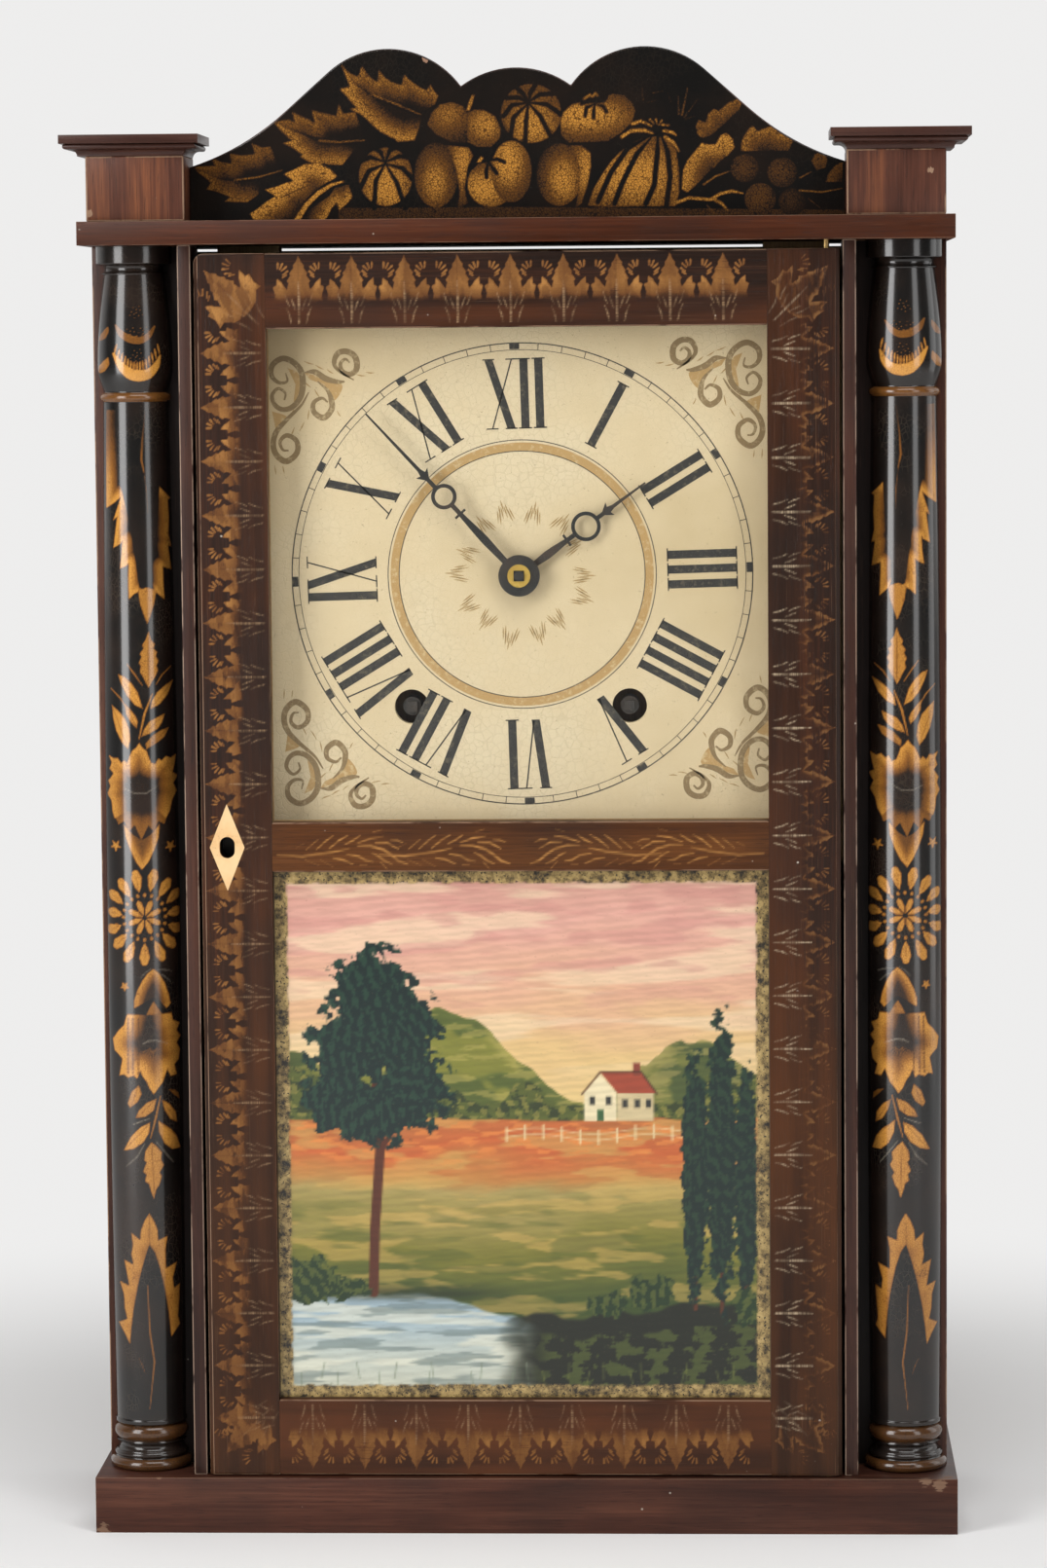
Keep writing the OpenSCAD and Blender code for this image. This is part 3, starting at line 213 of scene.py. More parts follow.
def sums(make, how, *values):
    total = values[0]
    for value in values[1:]:
        total = make("ShaderNodeMath", {0: total, 1: value}, operation=how).outputs[0]
    return total


def times(make, *values):
    return sums(make, "MULTIPLY", *values)


def plus(make, *values):
    return sums(make, "ADD", *values)


def minus(make, *values):
    return sums(make, "SUBTRACT", *values)


def most(make, *values):
    return sums(make, "MAXIMUM", *values)


def ramped(make, value, *stops):
    ramp = make("ShaderNodeValToRGB", {0: value})
    line = ramp.color_ramp.elements
    while len(line) < len(stops):
        line.new(0.5)
    for element, (at, colour) in zip(line, stops):
        element.position = at
        element.color = (*colour, 1)
    return ramp.outputs[0]


def stretched(make, place, scale):
    return make("ShaderNodeMapping", {"Vector": place, "Scale": scale}, vector_type="POINT").outputs[0]


def field(make, name):
    return make("ShaderNodeAttribute", attribute_name=name).outputs["Fac"]


def finish(make, colour, rough, height=None, lift=0.0002, coat=0.0, coatRough=0.1, ior=1.5, metal=0.0):
    inputs = {"Base Color": colour, "Roughness": rough, "Metallic": metal, "IOR": ior, "Coat Weight": coat,
              "Coat Roughness": coatRough}
    if height is not None:
        inputs["Normal"] = make("ShaderNodeBump", {"Height": height, "Strength": 1.0,
            "Distance": lift}).outputs[0]
    shader = make("ShaderNodeBsdfPrincipled", inputs)
    make("ShaderNodeOutputMaterial", {"Surface": shader.outputs[0]})


# Knocked-off finish: balls of radius r round given points, their edges torn along the grain
def spotShare(make, place, s, long=2):
    share = None
    scale = [500] * 3
    scale[long] = 110
    for x, y, z, r in s.get("spots", ()):
        far = make("ShaderNodeVectorMath", {0: place, 1: (x * mm, y * mm, z * mm)},
            operation="DISTANCE").outputs["Value"]
        torn = times(make, noise(make, stretched(make, place, scale), 1.0, 3.0, 0.7), 2.6 * r * mm)
        near = ranged(make, plus(make, far, torn), r * mm * 1.9, r * mm * 2.1, 1.0, 0.0)
        share = near if share is None else most(make, share, near)
    return share


# Wood: fibre and pores are noise drawn out along the grain, and the figure is a broader noise bent by another
def woodSockets(make, s):
    place = objectPlace(make)
    long = {"X": 0, "Y": 1, "Z": 2}[s["grain"]]

    def along(across, length):
        scale = [across] * 3
        scale[long] = length
        return stretched(make, place, scale)

    fibre = noise(make, along(900, 22), 1.0, 4.0, 0.6)
    figure = noise(make, along(s.get("bands", 70), s.get("bandLength", 5)), 1.0, 3.0, 0.5, s.get("bend", 0.6))
    pores = ranged(make, noise(make, along(2200, 90), 1.0, 2.0, 0.5), 0.60, 0.72)
    cloud = noise(make, place, s.get("cloud", 14), 3.0, 0.6)
    tone = plus(make, times(make, figure, 0.62), times(make, fibre, 0.38))
    colour = ramped(make, tone, (0.32, s["dark"]), (0.5, s["mid"]), (0.66, s["light"]))
    colour = mixed(make, times(make, pores, s.get("pores", 0.5)), colour, tuple(c * 0.35 for c in s["dark"]))
    for axis, a, b, tint, level in s.get("tints", ()):
        part = make("ShaderNodeMath", {0: make("ShaderNodeSeparateXYZ", {0: place}).outputs[axis]},
            operation="ABSOLUTE")
        share = times(make, ranged(make, part.outputs[0], a, b), ranged(make, figure, 0.3, 0.62, 0.35, 1.0),
            level)
        colour = mixed(make, share, colour, tint)
    grime = ranged(make, cloud, 0.38, 0.68)
    colour = mixed(make, times(make, grime, s.get("grime", 0.35)), colour,
        s.get("grimeColour", (0.008, 0.006, 0.005)))
    scratch = ranged(make, noise(make, along(2600, 14), 1.0, 1.0, 0.4), 0.68, 0.76)
    scratch = times(make, scratch, ranged(make, noise(make, place, 60), 0.45, 0.65), s.get("scratch", 0.25))
    colour = mixed(make, scratch, colour, s.get("bare", (0.30, 0.15, 0.07)))
    if s.get("specks", 0.4):
        dots = make("ShaderNodeTexVoronoi", {"Vector": place,
            "Scale": s.get("speckScale", 140)}).outputs["Distance"]
        rare = ranged(make, noise(make, place, 75, 1.0), 0.66, 0.70)
        fleck = times(make, ranged(make, dots, 0.05, 0.10, 1.0, 0.0), rare, s.get("specks", 0.4))
        colour = mixed(make, fleck, colour, (0.62, 0.55, 0.46))
    worn = spotShare(make, place, s, long)
    if s.get("wear"):
        rub = noise(make, along(70, 30), 1.0, 4.0, 0.65)
        rub = ranged(make, rub, 0.62 - 0.3 * s["wear"], 0.74 - 0.3 * s["wear"])
        worn = rub if worn is None else most(make, worn, rub)
    rough = plus(make, s.get("rough", 0.3), times(make, minus(make, cloud, 0.5), 0.35),
                 times(make, fibre, 0.12))
    if worn is not None:
        colour = mixed(make, times(make, worn, s.get("wearLevel", 0.9)), colour,
            mixed(make, fibre, s.get("bare", (0.30, 0.15, 0.07)), s.get("bareLight", (0.50, 0.28, 0.14))))
        rough = plus(make, rough, times(make, worn, 0.25))
    height = minus(make, times(make, fibre, 0.5), times(make, pores, 0.5))
    return colour, rough, height, place


def woodMaterial(name, s):
    material, make = newMaterial(name)
    colour, rough, height = woodSockets(make, s)[:3]
    finish(make, colour, rough, height, s.get("lift", 0.00006), s.get("coat", 0.0), s.get("coatRough", 0.2),
        s.get("ior", 1.27))
    return material


# Black gloss: soot black browned in clouds, with a fine net of cracks from the edges of small cells
def blackSockets(make, s):
    place = objectPlace(make)
    cloud = noise(make, place, 22, 4.0, 0.6)
    cells = make("ShaderNodeTexVoronoi", {"Vector": stretched(make, place, s.get("cells", (420, 420, 300))),
        "Scale": 1.0}, feature="DISTANCE_TO_EDGE").outputs["Distance"]
    net = times(make, ranged(make, cells, 0.02, 0.09, 1.0, 0.0),
        ranged(make, noise(make, place, 30), 0.45, 0.62))
    colour = mixed(make, ranged(make, cloud, 0.35, 0.75), (0.006, 0.0055, 0.005),
        s.get("brown", (0.022, 0.013, 0.009)))
    colour = mixed(make, times(make, net, s.get("net", 0.3)), colour, (0.06, 0.045, 0.03))
    dust = ranged(make, noise(make, place, 1500, 2.0), 0.70, 0.76)
    colour = mixed(make, times(make, dust, s.get("dust", 0.25)), colour, (0.30, 0.26, 0.20))
    bald = spotShare(make, place, s)
    if bald is not None:
        colour = mixed(make, times(make, bald, 0.8), colour, (0.30, 0.17, 0.11))
    rough = plus(make, s.get("rough", 0.26), times(make, minus(make, cloud, 0.5), 0.25))
    height = plus(make, times(make, cloud, 0.6), times(make, net, -0.25),
                  times(make, noise(make, place, 700, 3.0), 0.15))
    return colour, rough, height, place


# Gilding over a ground: the attribute gold is its strength, broken by weave, lost flakes and cracks
def gildedMaterial(name, s, ground):
    material, make = newMaterial(name)
    colour, rough, height, place = ground(make, s)
    fine = noise(make, stretched(make, place, s.get("weave", (1500, 1500, 1500))), 1.0, 3.0, 0.6)
    broad = noise(make, place, 110, 3.0, 0.6)
    gone = ranged(make, plus(make, times(make, fine, 0.55), times(make, broad, 0.45)),
                  s.get("loss", 0.56), s.get("loss", 0.56) + 0.09)
    cells = make("ShaderNodeTexVoronoi", {"Vector": stretched(make, place,
        s.get("crackle", (900, 900, 900))), "Scale": 1.0}, feature="DISTANCE_TO_EDGE").outputs["Distance"]
    cracks = ranged(make, cells, 0.02, 0.12, 1.0, 0.0)
    left = minus(make, 1.0, times(make, gone, s.get("lossLevel", 0.6)),
                times(make, cracks, s.get("crackLevel", 0.3)))
    power = times(make, field(make, "gold"), left)
    power = plus(make, power, times(make, minus(make, fine, 0.5), field(make, "gold"), s.get("shimmer", 0.5)))
    leaf = ramped(make, power, (0.08, s["goldDark"]), (0.42, s["goldMid"]), (0.88, s["goldLight"]))
    cover = ranged(make, power, 0.02, 0.2)
    colour = mixed(make, cover, colour, leaf)
    pale = times(make, field(make, "pale"), ranged(make, fine, 0.3, 0.62, 1.0, 0.25))
    colour = mixed(make, pale, colour, s["pale"])
    rough = mixed(make, cover, rough, (0.42, 0.42, 0.42))
    height = plus(make, height, times(make, cover, 0.5))
    finish(make, colour, rough, height, s.get("lift", 0.00008), s.get("coat", 0.3), s.get("coatRough", 0.2),
        s.get("ior", 1.5))
    return material


# Plain finishes: a colour broken by noise, with dirt in clouds and a fine bump
def plainMaterial(name, s):
    material, make = newMaterial(name)
    place = objectPlace(make)
    cloud = noise(make, place, s.get("cloud", 40), 4.0, 0.6)
    fine = noise(make, place, s.get("fine", 700), 3.0, 0.6)
    colour = mixed(make, ranged(make, cloud, 0.35, 0.7), s["colour"], s["other"])
    stain = ranged(make, plus(make, times(make, fine, 0.5), times(make, cloud, 0.5)), 0.54, 0.66)
    colour = mixed(make, times(make, stain, s.get("stain", 0.3)), colour,
        s.get("stainColour", (0.02, 0.015, 0.01)))
    rough = plus(make, s.get("rough", 0.4), times(make, minus(make, cloud, 0.5), 0.3))
    finish(make, colour, rough, fine, s.get("lift", 0.0001), s.get("coat", 0.0), 0.1, 1.5,
        s.get("metal", 0.0))
    return material


# Clear glass: mostly let through, with a mirror share that grows towards grazing views
def glassMaterial(name):
    material, make = newMaterial(name)
    grazing = make("ShaderNodeLayerWeight", {"Blend": 0.5}).outputs["Facing"]
    share = ranged(make, sums(make, "POWER", grazing, 5.0), 0.0, 1.0, 0.03, 0.95, False)
    clear = make("ShaderNodeBsdfTransparent", {"Color": (0.975, 0.98, 0.97, 1)}).outputs[0]
    place = objectPlace(make)
    wave = make("ShaderNodeBump", {"Height": noise(make, place, 9, 2.0), "Strength": 0.3,
        "Distance": 0.002}).outputs[0]
    mirror = make("ShaderNodeBsdfGlossy", {"Color": (1, 1, 1, 1), "Roughness": 0.04,
        "Normal": wave}).outputs[0]
    mix = make("ShaderNodeMixShader", {0: share, 1: clear, 2: mirror})
    make("ShaderNodeOutputMaterial", {"Surface": mix.outputs[0]})
    return material


worn = {"bare": (0.17, 0.085, 0.045), "bareLight": (0.36, 0.24, 0.16)}
mahogany = dict(worn, dark=(0.010, 0.005, 0.003), mid=(0.022, 0.009, 0.005), light=(0.055, 0.017, 0.007))
baseWood = dict(worn, grain="X", dark=(0.030, 0.010, 0.006), mid=(0.058, 0.019, 0.011),
    light=(0.10, 0.036, 0.020), rough=0.36, coat=0.05, grime=0.35, wearLevel=0.5,
    spots=((203, -64, 25, 5), (196, -64, 27, 4), (207, -60, 26, 4), (-208, -63, 2, 4), (-180, -64, 28, 2)))
topWood = dict(worn, grain="X", dark=(0.028, 0.007, 0.002), mid=(0.058, 0.014, 0.004),
    light=(0.10, 0.027, 0.008), rough=0.34, coat=0.05, grime=0.3, wearLevel=0.5)
stileWood = dict(mahogany, grain="Z", rough=0.36, scratch=0.35, grime=0.4, wearLevel=0.75, specks=0.5,
    tints=((0, 0.148, 0.124, (0.075, 0.024, 0.008), 0.45), (2, 0.36, 0.16, (0.085, 0.030, 0.009), 0.5)))
railWood = dict(mahogany, grain="X", rough=0.36, scratch=0.25, grime=0.35, wearLevel=0.6,
    tints=((2, 0.608, 0.592, (0.075, 0.023, 0.008), 0.6), (2, 0.36, 0.16, (0.095, 0.030, 0.010), 0.6)))
middleWood = dict(railWood, dark=(0.032, 0.010, 0.003), mid=(0.070, 0.023, 0.006),
    light=(0.12, 0.042, 0.010), tints=())
blockWood = dict(worn, grain="Z", dark=(0.040, 0.014, 0.009), mid=(0.085, 0.030, 0.018),
    light=(0.18, 0.062, 0.027), rough=0.36, coat=0.05, bands=75, bandLength=8, bend=0.7, grime=0.3,
    spots=((-204, -61, 645, 2.2), (199, -61, 662, 2.0)))
capWood = dict(worn, grain="X", dark=(0.026, 0.010, 0.007), mid=(0.050, 0.019, 0.013),
    light=(0.085, 0.034, 0.023), rough=0.34, coat=0.15, grime=0.3,
    spots=((-155, -40, 682, 5), (-157, -30, 677, 5), (163, -38, 682, 3)))
sideWood = dict(worn, grain="Z", dark=(0.030, 0.011, 0.007), mid=(0.065, 0.022, 0.013),
    light=(0.11, 0.04, 0.022), rough=0.38, coat=0.1, grime=0.3)
frameWood = dict(worn, grain="Z", dark=(0.006, 0.004, 0.003), mid=(0.010, 0.006, 0.005),
    light=(0.018, 0.009, 0.007), rough=0.45, tints=((0, 0.1985, 0.2005, (0.085, 0.032, 0.024), 0.8),))
jambWood = dict(worn, grain="Z", dark=(0.018, 0.008, 0.006), mid=(0.038, 0.015, 0.010),
    light=(0.065, 0.026, 0.017), rough=0.38, coat=0.1, bareLight=(0.42, 0.33, 0.26), wearLevel=0.8)
pineWood = dict(grain="Z", dark=(0.20, 0.11, 0.05), mid=(0.34, 0.21, 0.10), light=(0.46, 0.31, 0.16),
    rough=0.62, grime=0.3, specks=0, grimeColour=(0.10, 0.06, 0.03), scratch=0.1, lift=0.00015, bands=45,
    bandLength=2.5)
oakWood = dict(grain="Z", dark=(0.14, 0.075, 0.032), mid=(0.26, 0.15, 0.07), light=(0.38, 0.24, 0.12),
    rough=0.5, grime=0.25, specks=0, grimeColour=(0.07, 0.04, 0.02), pores=0.8)
cherryWood = dict(grain="Z", dark=(0.16, 0.07, 0.03), mid=(0.30, 0.14, 0.06), light=(0.42, 0.22, 0.10),
    rough=0.45, grime=0.2, specks=0, grimeColour=(0.07, 0.03, 0.015), pores=0.3)


woodLooks = {
    "base": baseWood, "top": topWood, "stile": stileWood, "rail": railWood, "middle": middleWood,
    "block": blockWood, "cap": capWood, "side": sideWood, "frame": frameWood, "jamb": jambWood,
    "pine": pineWood, "oak": oakWood, "cherry": cherryWood,
}
woods = {}
for key, s in woodLooks.items():
    woods[key] = woodMaterial(key + "Wood", s)
    woods[key + "Worn"] = woodMaterial(key + "WoodWorn", dict(s, wear=0.8))
woods["pineX"] = woodMaterial("pineCross", dict(pineWood, grain="X"))
woods["cherryY"] = woodMaterial("cherryAlong", dict(cherryWood, grain="Y"))

finishes = {
    "brass": plainMaterial("brass", {"colour": (0.42, 0.29, 0.11), "other": (0.26, 0.17, 0.07),
        "metal": 1.0, "rough": 0.34}),
    "brightBrass": plainMaterial("brightBrass", {"colour": (0.66, 0.44, 0.10), "other": (0.46, 0.28, 0.06),
        "metal": 0.3, "rough": 0.3, "stain": 0.2}),
    "bell": plainMaterial("bellMetal", {"colour": (0.40, 0.30, 0.14), "other": (0.20, 0.15, 0.08),
        "metal": 0.9, "rough": 0.42}),
    "steel": plainMaterial("bluedSteel", {"colour": (0.034, 0.034, 0.034), "other": (0.060, 0.048, 0.040),
        "metal": 0.3, "rough": 0.4, "stain": 0.35, "stainColour": (0.09, 0.045, 0.025)}),
    "bolt": plainMaterial("boltSteel", {"colour": (0.35, 0.34, 0.32), "other": (0.22, 0.20, 0.18),
        "metal": 0.9, "rough": 0.4}),
    "iron": plainMaterial("castIron", {"colour": (0.035, 0.032, 0.030), "other": (0.075, 0.045, 0.030),
        "rough": 0.7, "fine": 400, "lift": 0.0006, "stainColour": (0.13, 0.05, 0.02)}),
    "cord": plainMaterial("cordCotton", {"colour": (0.42, 0.36, 0.26), "other": (0.30, 0.25, 0.17),
        "rough": 0.85, "fine": 2500, "lift": 0.0004}),
    "bone": plainMaterial("boneInlay", {"colour": (0.72, 0.50, 0.26), "other": (0.62, 0.36, 0.15),
        "rough": 0.4, "coat": 0.1, "stain": 0.45, "stainColour": (0.20, 0.10, 0.04), "fine": 900}),
    "glass": glassMaterial("clearGlass"),
    "putty": plainMaterial("glassBack", {"colour": (0.08, 0.055, 0.035), "other": (0.13, 0.10, 0.06),
        "rough": 0.5}),
}
print("stage: materials ready")

# Building helpers


# Adds a piece to the scene: it rides on a body and may stand for CAD nodes; slot is not used
def putPiece(ob, body, slot, *nodes):
    if not ob.users_collection:
        bpy.context.scene.collection.objects.link(ob)
    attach(ob, body)
    if nodes:
        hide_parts(*nodes)
    return ob


# Copy of a CAD node with merged triangles and eased edges; the eased strips take the second material
def eased(node, width, face, edge, body, slot):
    mesh = frame["nodes"][node].data.copy()
    mesh.name = node + "_eased"
    work = bmesh.new()
    work.from_mesh(mesh)
    bmesh.ops.remove_doubles(work, verts=work.verts, dist=2e-6)
    bmesh.ops.dissolve_limit(work, angle_limit=math.radians(0.6), verts=work.verts, edges=work.edges)
    work.to_mesh(mesh)
    work.free()
    mesh.materials.clear()
    mesh.materials.append(face)
    mesh.materials.append(edge)
    mesh.polygons.foreach_set("material_index", np.zeros(len(mesh.polygons), np.int32))
    mesh.shade_smooth()
    ob = bpy.data.objects.new(node + "_eased", mesh)
    bevel = ob.modifiers.new("ease", "BEVEL")
    bevel.width = width * mm
    bevel.segments = 2
    bevel.limit_method = "ANGLE"
    bevel.angle_limit = math.radians(40)
    bevel.harden_normals = True
    bevel.material = 1
    bevel.use_clamp_overlap = True
    return putPiece(ob, body, slot, node)


# Surface over a grid of points (rows, columns, 3) in mm, with named numbers at every point
# wrap joins its last column to its first, flip turns its faces, and keep chooses faces by their middles
def gridPiece(name, points, material, fields=None, wrap=False, flip=False, keep=None):
    rows, cols = points.shape[:2]
    index = np.arange(rows * cols).reshape(rows, cols)
    if wrap:
        index = np.concatenate([index, index[:, :1]], 1)
    quads = np.stack([index[:-1, :-1], index[:-1, 1:], index[1:, 1:], index[1:, :-1]], -1).reshape(-1, 4)
    if flip:
        quads = quads[:, ::-1]
    if keep is not None:
        quads = quads[keep(points.reshape(-1, 3)[quads].mean(1))]
    mesh = bpy.data.meshes.new(name)
    mesh.vertices.add(rows * cols)
    mesh.vertices.foreach_set("co", (points * mm).astype(np.float32).reshape(-1))
    mesh.loops.add(quads.size)
    mesh.loops.foreach_set("vertex_index", quads.reshape(-1).astype(np.int32))
    mesh.polygons.add(len(quads))
    mesh.polygons.foreach_set("loop_start", np.arange(0, quads.size, 4, dtype=np.int32))
    mesh.update(calc_edges=True)
    mesh.shade_smooth()
    for key, value in (fields or {}).items():
        if value.ndim == 3:
            layer = mesh.attributes.new(key, "FLOAT_COLOR", "POINT")
            full = np.concatenate([value, np.ones(value.shape[:2] + (1,))], -1)
            layer.data.foreach_set("color", full.astype(np.float32).reshape(-1))
        else:
            layer = mesh.attributes.new(key, "FLOAT", "POINT")
            layer.data.foreach_set("value", value.astype(np.float32).reshape(-1))
    mesh.materials.append(material)
    return bpy.data.objects.new(name, mesh)


# Painted drawing on a plane: x and z are points in mm, and each layer is a paint's strength, 0 to 1
def newPaint(x, z):
    return {"x": x, "z": z, "gold": np.zeros(x.shape), "pale": np.zeros(x.shape)}


# Distance to a closed outline's nearest edge, positive inside, where a ray crosses the outline an odd
# number of times
def outlineDistance(x, z, outline):
    far = np.full(x.shape, 99.0)
    odd = np.zeros(x.shape, bool)
    for (ax, az), (bx, bz) in zip(outline, np.roll(outline, -1, 0)):
        ex, ez = bx - ax, bz - az
        t = np.clip(((x - ax) * ex + (z - az) * ez) / max(ex * ex + ez * ez, 1e-9), 0, 1)
        far = np.minimum(far, np.hypot(x - ax - t * ex, z - az - t * ez))
        odd ^= ((az > z) != (bz > z)) & (x < ex * (z - az) / (ez if abs(ez) > 1e-9 else 1e-9) + ax)
    return np.where(odd, far, -far)


# Distance inside a stroke along points, whose half width runs evenly from one value to the next
def strokeDistance(x, z, points, halves):
    best = np.full(x.shape, -99.0)
    for (ax, az), (bx, bz), wa, wb in zip(points[:-1], points[1:], halves[:-1], halves[1:]):
        ex, ez = bx - ax, bz - az
        t = np.clip(((x - ax) * ex + (z - az) * ez) / max(ex * ex + ez * ez, 1e-9), 0, 1)
        best = np.maximum(best, wa + (wb - wa) * t - np.hypot(x - ax - t * ex, z - az - t * ez))
    return best


# Paints a shape over a layer: at full strength, falling off with the distance from a rim, or round a
# glow's centre as a bell curve
def lay(paint, points, power=0.8, halves=None, layer="gold", rim=None, glow=None):
    points = np.array(points, float)
    reach = 1.5 + (max(halves) if halves is not None else 0)
    low, high = points.min(0) - reach, points.max(0) + reach
    near = (paint["x"] > low[0]) & (paint["x"] < high[0]) & (paint["z"] > low[1]) & (paint["z"] < high[1])
    if not near.any():
        return
    x, z = paint["x"][near], paint["z"][near]
    d = outlineDistance(x, z, points) if halves is None else strokeDistance(x, z, points, halves)
    inside = np.clip(d / 0.6 + 0.5, 0, 1)
    level = np.full(x.shape, float(power))
    if rim is not None:
        edge, width, least = rim
        away = -strokeDistance(x, z, np.array(edge, float), [0] * len(edge))
        level *= least + (1 - least) * (1 - smoothBetween(0, width, away))
    if glow is not None:
        (gx, gz), (rx, rz), least = glow
        level *= least + (1 - least) * np.exp(-((x - gx) / rx) ** 2 - ((z - gz) / rz) ** 2)
    paint[layer][near] = paint[layer][near] * (1 - inside) + level * inside


# Places a drawing's points: along is its first direction, out its second, scale stretches both
def placed(points, start, along, out, scale=(1, 1)):
    p = np.array(points, float)
    return np.array(start) + np.outer(p[:, 0] * scale[0], along) + np.outer(p[:, 1] * scale[1], out)


# Smooth line through points: a cubic between each two, its slope at a point taken from its neighbours
def smoothLine(points, steps=8):
    p = np.array(points, float)
    slope = np.gradient(p, axis=0)
    t = np.linspace(0, 1, steps + 1)[:-1, None, None]
    a, b, va, vb = p[:-1], p[1:], slope[:-1], slope[1:]
    curve = ((2 * t ** 3 - 3 * t ** 2 + 1) * a + (t ** 3 - 2 * t ** 2 + t) * va
             + (3 * t ** 2 - 2 * t ** 3) * b + (t ** 3 - t ** 2) * vb)
    return np.concatenate([np.swapaxes(curve, 0, 1).reshape(-1, 2), p[-1:]])


def fieldsOf(paint):
    return {"gold": paint["gold"], "pale": paint["pale"]}


def smoothBetween(a, b, x):
    t = np.clip((x - a) / (b - a), 0, 1)
    return t * t * (3 - 2 * t)


# Soft noise from 0 to 1: sines along seeded directions, every octave half as strong and twice as fine
def sineNoise(x, z, size, seed, octaves=4):
    rng = np.random.default_rng(seed)
    total, power = np.zeros(x.shape), 0
    for k in range(octaves):
        for a, b, c in rng.uniform(0, 2 * math.pi, (6, 3)):
            run = x * math.cos(a) + z * math.sin(a)
            total += 0.5 ** k * np.sin(run * 2 * math.pi * 2 ** k * (0.8 + 0.06 * c) / size + b)
            power += 0.25 ** k / 2
    return 0.5 + 0.5 * np.tanh(total / math.sqrt(power) * 0.9)


# Case boards

for node, width, key, slot in [
        ("base_board", 1.2, "base", "dark_wood"), ("top_board", 0.9, "top", "veneer"),
        ("case_side_left", 0.6, "side", "veneer"), ("case_side_right", 0.6, "side", "veneer"),
        ("column_boards", 0.5, "frame", "black_paint"), ("door_jambs", 0.7, "jamb", "dark_wood"),
        ("corner_block_left", 0.8, "block", "veneer"), ("corner_block_right", 0.8, "block", "veneer"),
        ("corner_cap_left", 0.5, "cap", "veneer"), ("corner_cap_right", 0.5, "cap", "veneer")]:
    eased(node, width, woods[key], woods[key + "Worn"], "case", slot)
for node, key in [("door_stile_left", "stile"), ("door_stile_right", "stile"), ("door_rail_top", "rail"),
                  ("door_rail_middle", "middle"), ("door_rail_bottom", "rail")]:
    eased(node, 0.7, woods[key], woods[key + "Worn"], "door", "dark_wood")
print("stage: boards ready")

# Inner pieces keep their CAD shape and take their finishes

inner = {
    "backboard": woods["pine"], "case_blocks": woods["pine"], "dial_rails": woods["pine"],
    "glazing_strips": woods["pineX"],
    "hinge_pins": finishes["brass"], "escutcheon": finishes["bone"], "door_lock": finishes["steel"],
    "lock_bolt": finishes["bolt"],
    "dial_glass": finishes["glass"], "tablet_glass": finishes["putty"], "hour_hand": finishes["steel"],
    "minute_hand": finishes["steel"], "plate_front": woods["oak"], "plate_back": woods["oak"],
    "plate_pillars": woods["cherryY"],
    "bell": finishes["bell"], "hammer": finishes["steel"], "verge": finishes["brass"],
    "suspension_post": finishes["brass"],
    "pendulum": finishes["brass"], "time_weight": finishes["iron"], "strike_weight": finishes["iron"],
    "cord_runs": finishes["cord"], "time_cord_drop": finishes["cord"], "strike_cord_drop": finishes["cord"],
    "time_drum": woods["cherryY"], "strike_drum": woods["cherryY"],
}
slotOf = {p["node"]: p.get("material_slot") for p in frame["record"].get("subparts", [])}
for name, node in frame["nodes"].items():
    if name in inner or slotOf.get(name) == "cherry":
        node.data.materials.clear()
        node.data.materials.append(inner.get(name, woods["cherry"]))
print("stage: inner pieces ready")

# Half columns: the profile turned half round, with gilding drawn as seen from the front

# turn in degrees, by side
columnSettings = {"x": 187.0, "y": -33.0, "z": 27.5, "height": 602.4, "turn": {-1: 7.0, 1: 0.0}}


# Radius at each height: beads are half rounds, coves hollow ones, the shaft swells as a parabola, and the
# vase follows sines
def columnRadius(z):
    def bead(low, h, r):
        return r - h / 2 + np.sqrt(np.maximum((h / 2) ** 2 - (z - low - h / 2) ** 2, 0))

    def cove(low, h, r):
        return r + h / 2 - np.sqrt(np.maximum((h / 2) ** 2 - (z - low - h / 2) ** 2, 0))

    t = np.clip((z - 25) / 502.1, 0, 1)
    shaft = 17.2 - 1.2 * t + 1.4 * 4 * t * (1 - t)
    v = np.clip((z - 532.1) / 56.9, 0, 1)
    vase = np.where(v < 0.22, 15.6 + 2.8 * np.sin(np.pi / 2 * v / 0.22),
                    14.8 + 3.6 * np.cos(np.pi / 2 * (v - 0.22) / 0.78))
    ends = [z < 6, z < 9.2, z < 14, z < 23, z < 25, z < 527.1, z < 531.5, z < 532.1, z < 589.0, z < 593.6]
    radii = [bead(0, 6, 20.3), bead(6, 3.2, 18.4), cove(9.2, 4.8, 16), bead(14, 9, 18.4), 17.7, shaft,
             bead(527.1, 4.4, 17.4), 15.6, vase, cove(589.0, 4.6, 14.4)]
    return np.select(ends, radii, 18.5)


# The enlarged view that the stencil was drawn in: its axis at one level, its lean, and mm for a step of it
columnView = {"axis": 147.1, "level": 941, "lean": 0.0157, "across": 0.476, "top": 753.5, "up": 0.479}
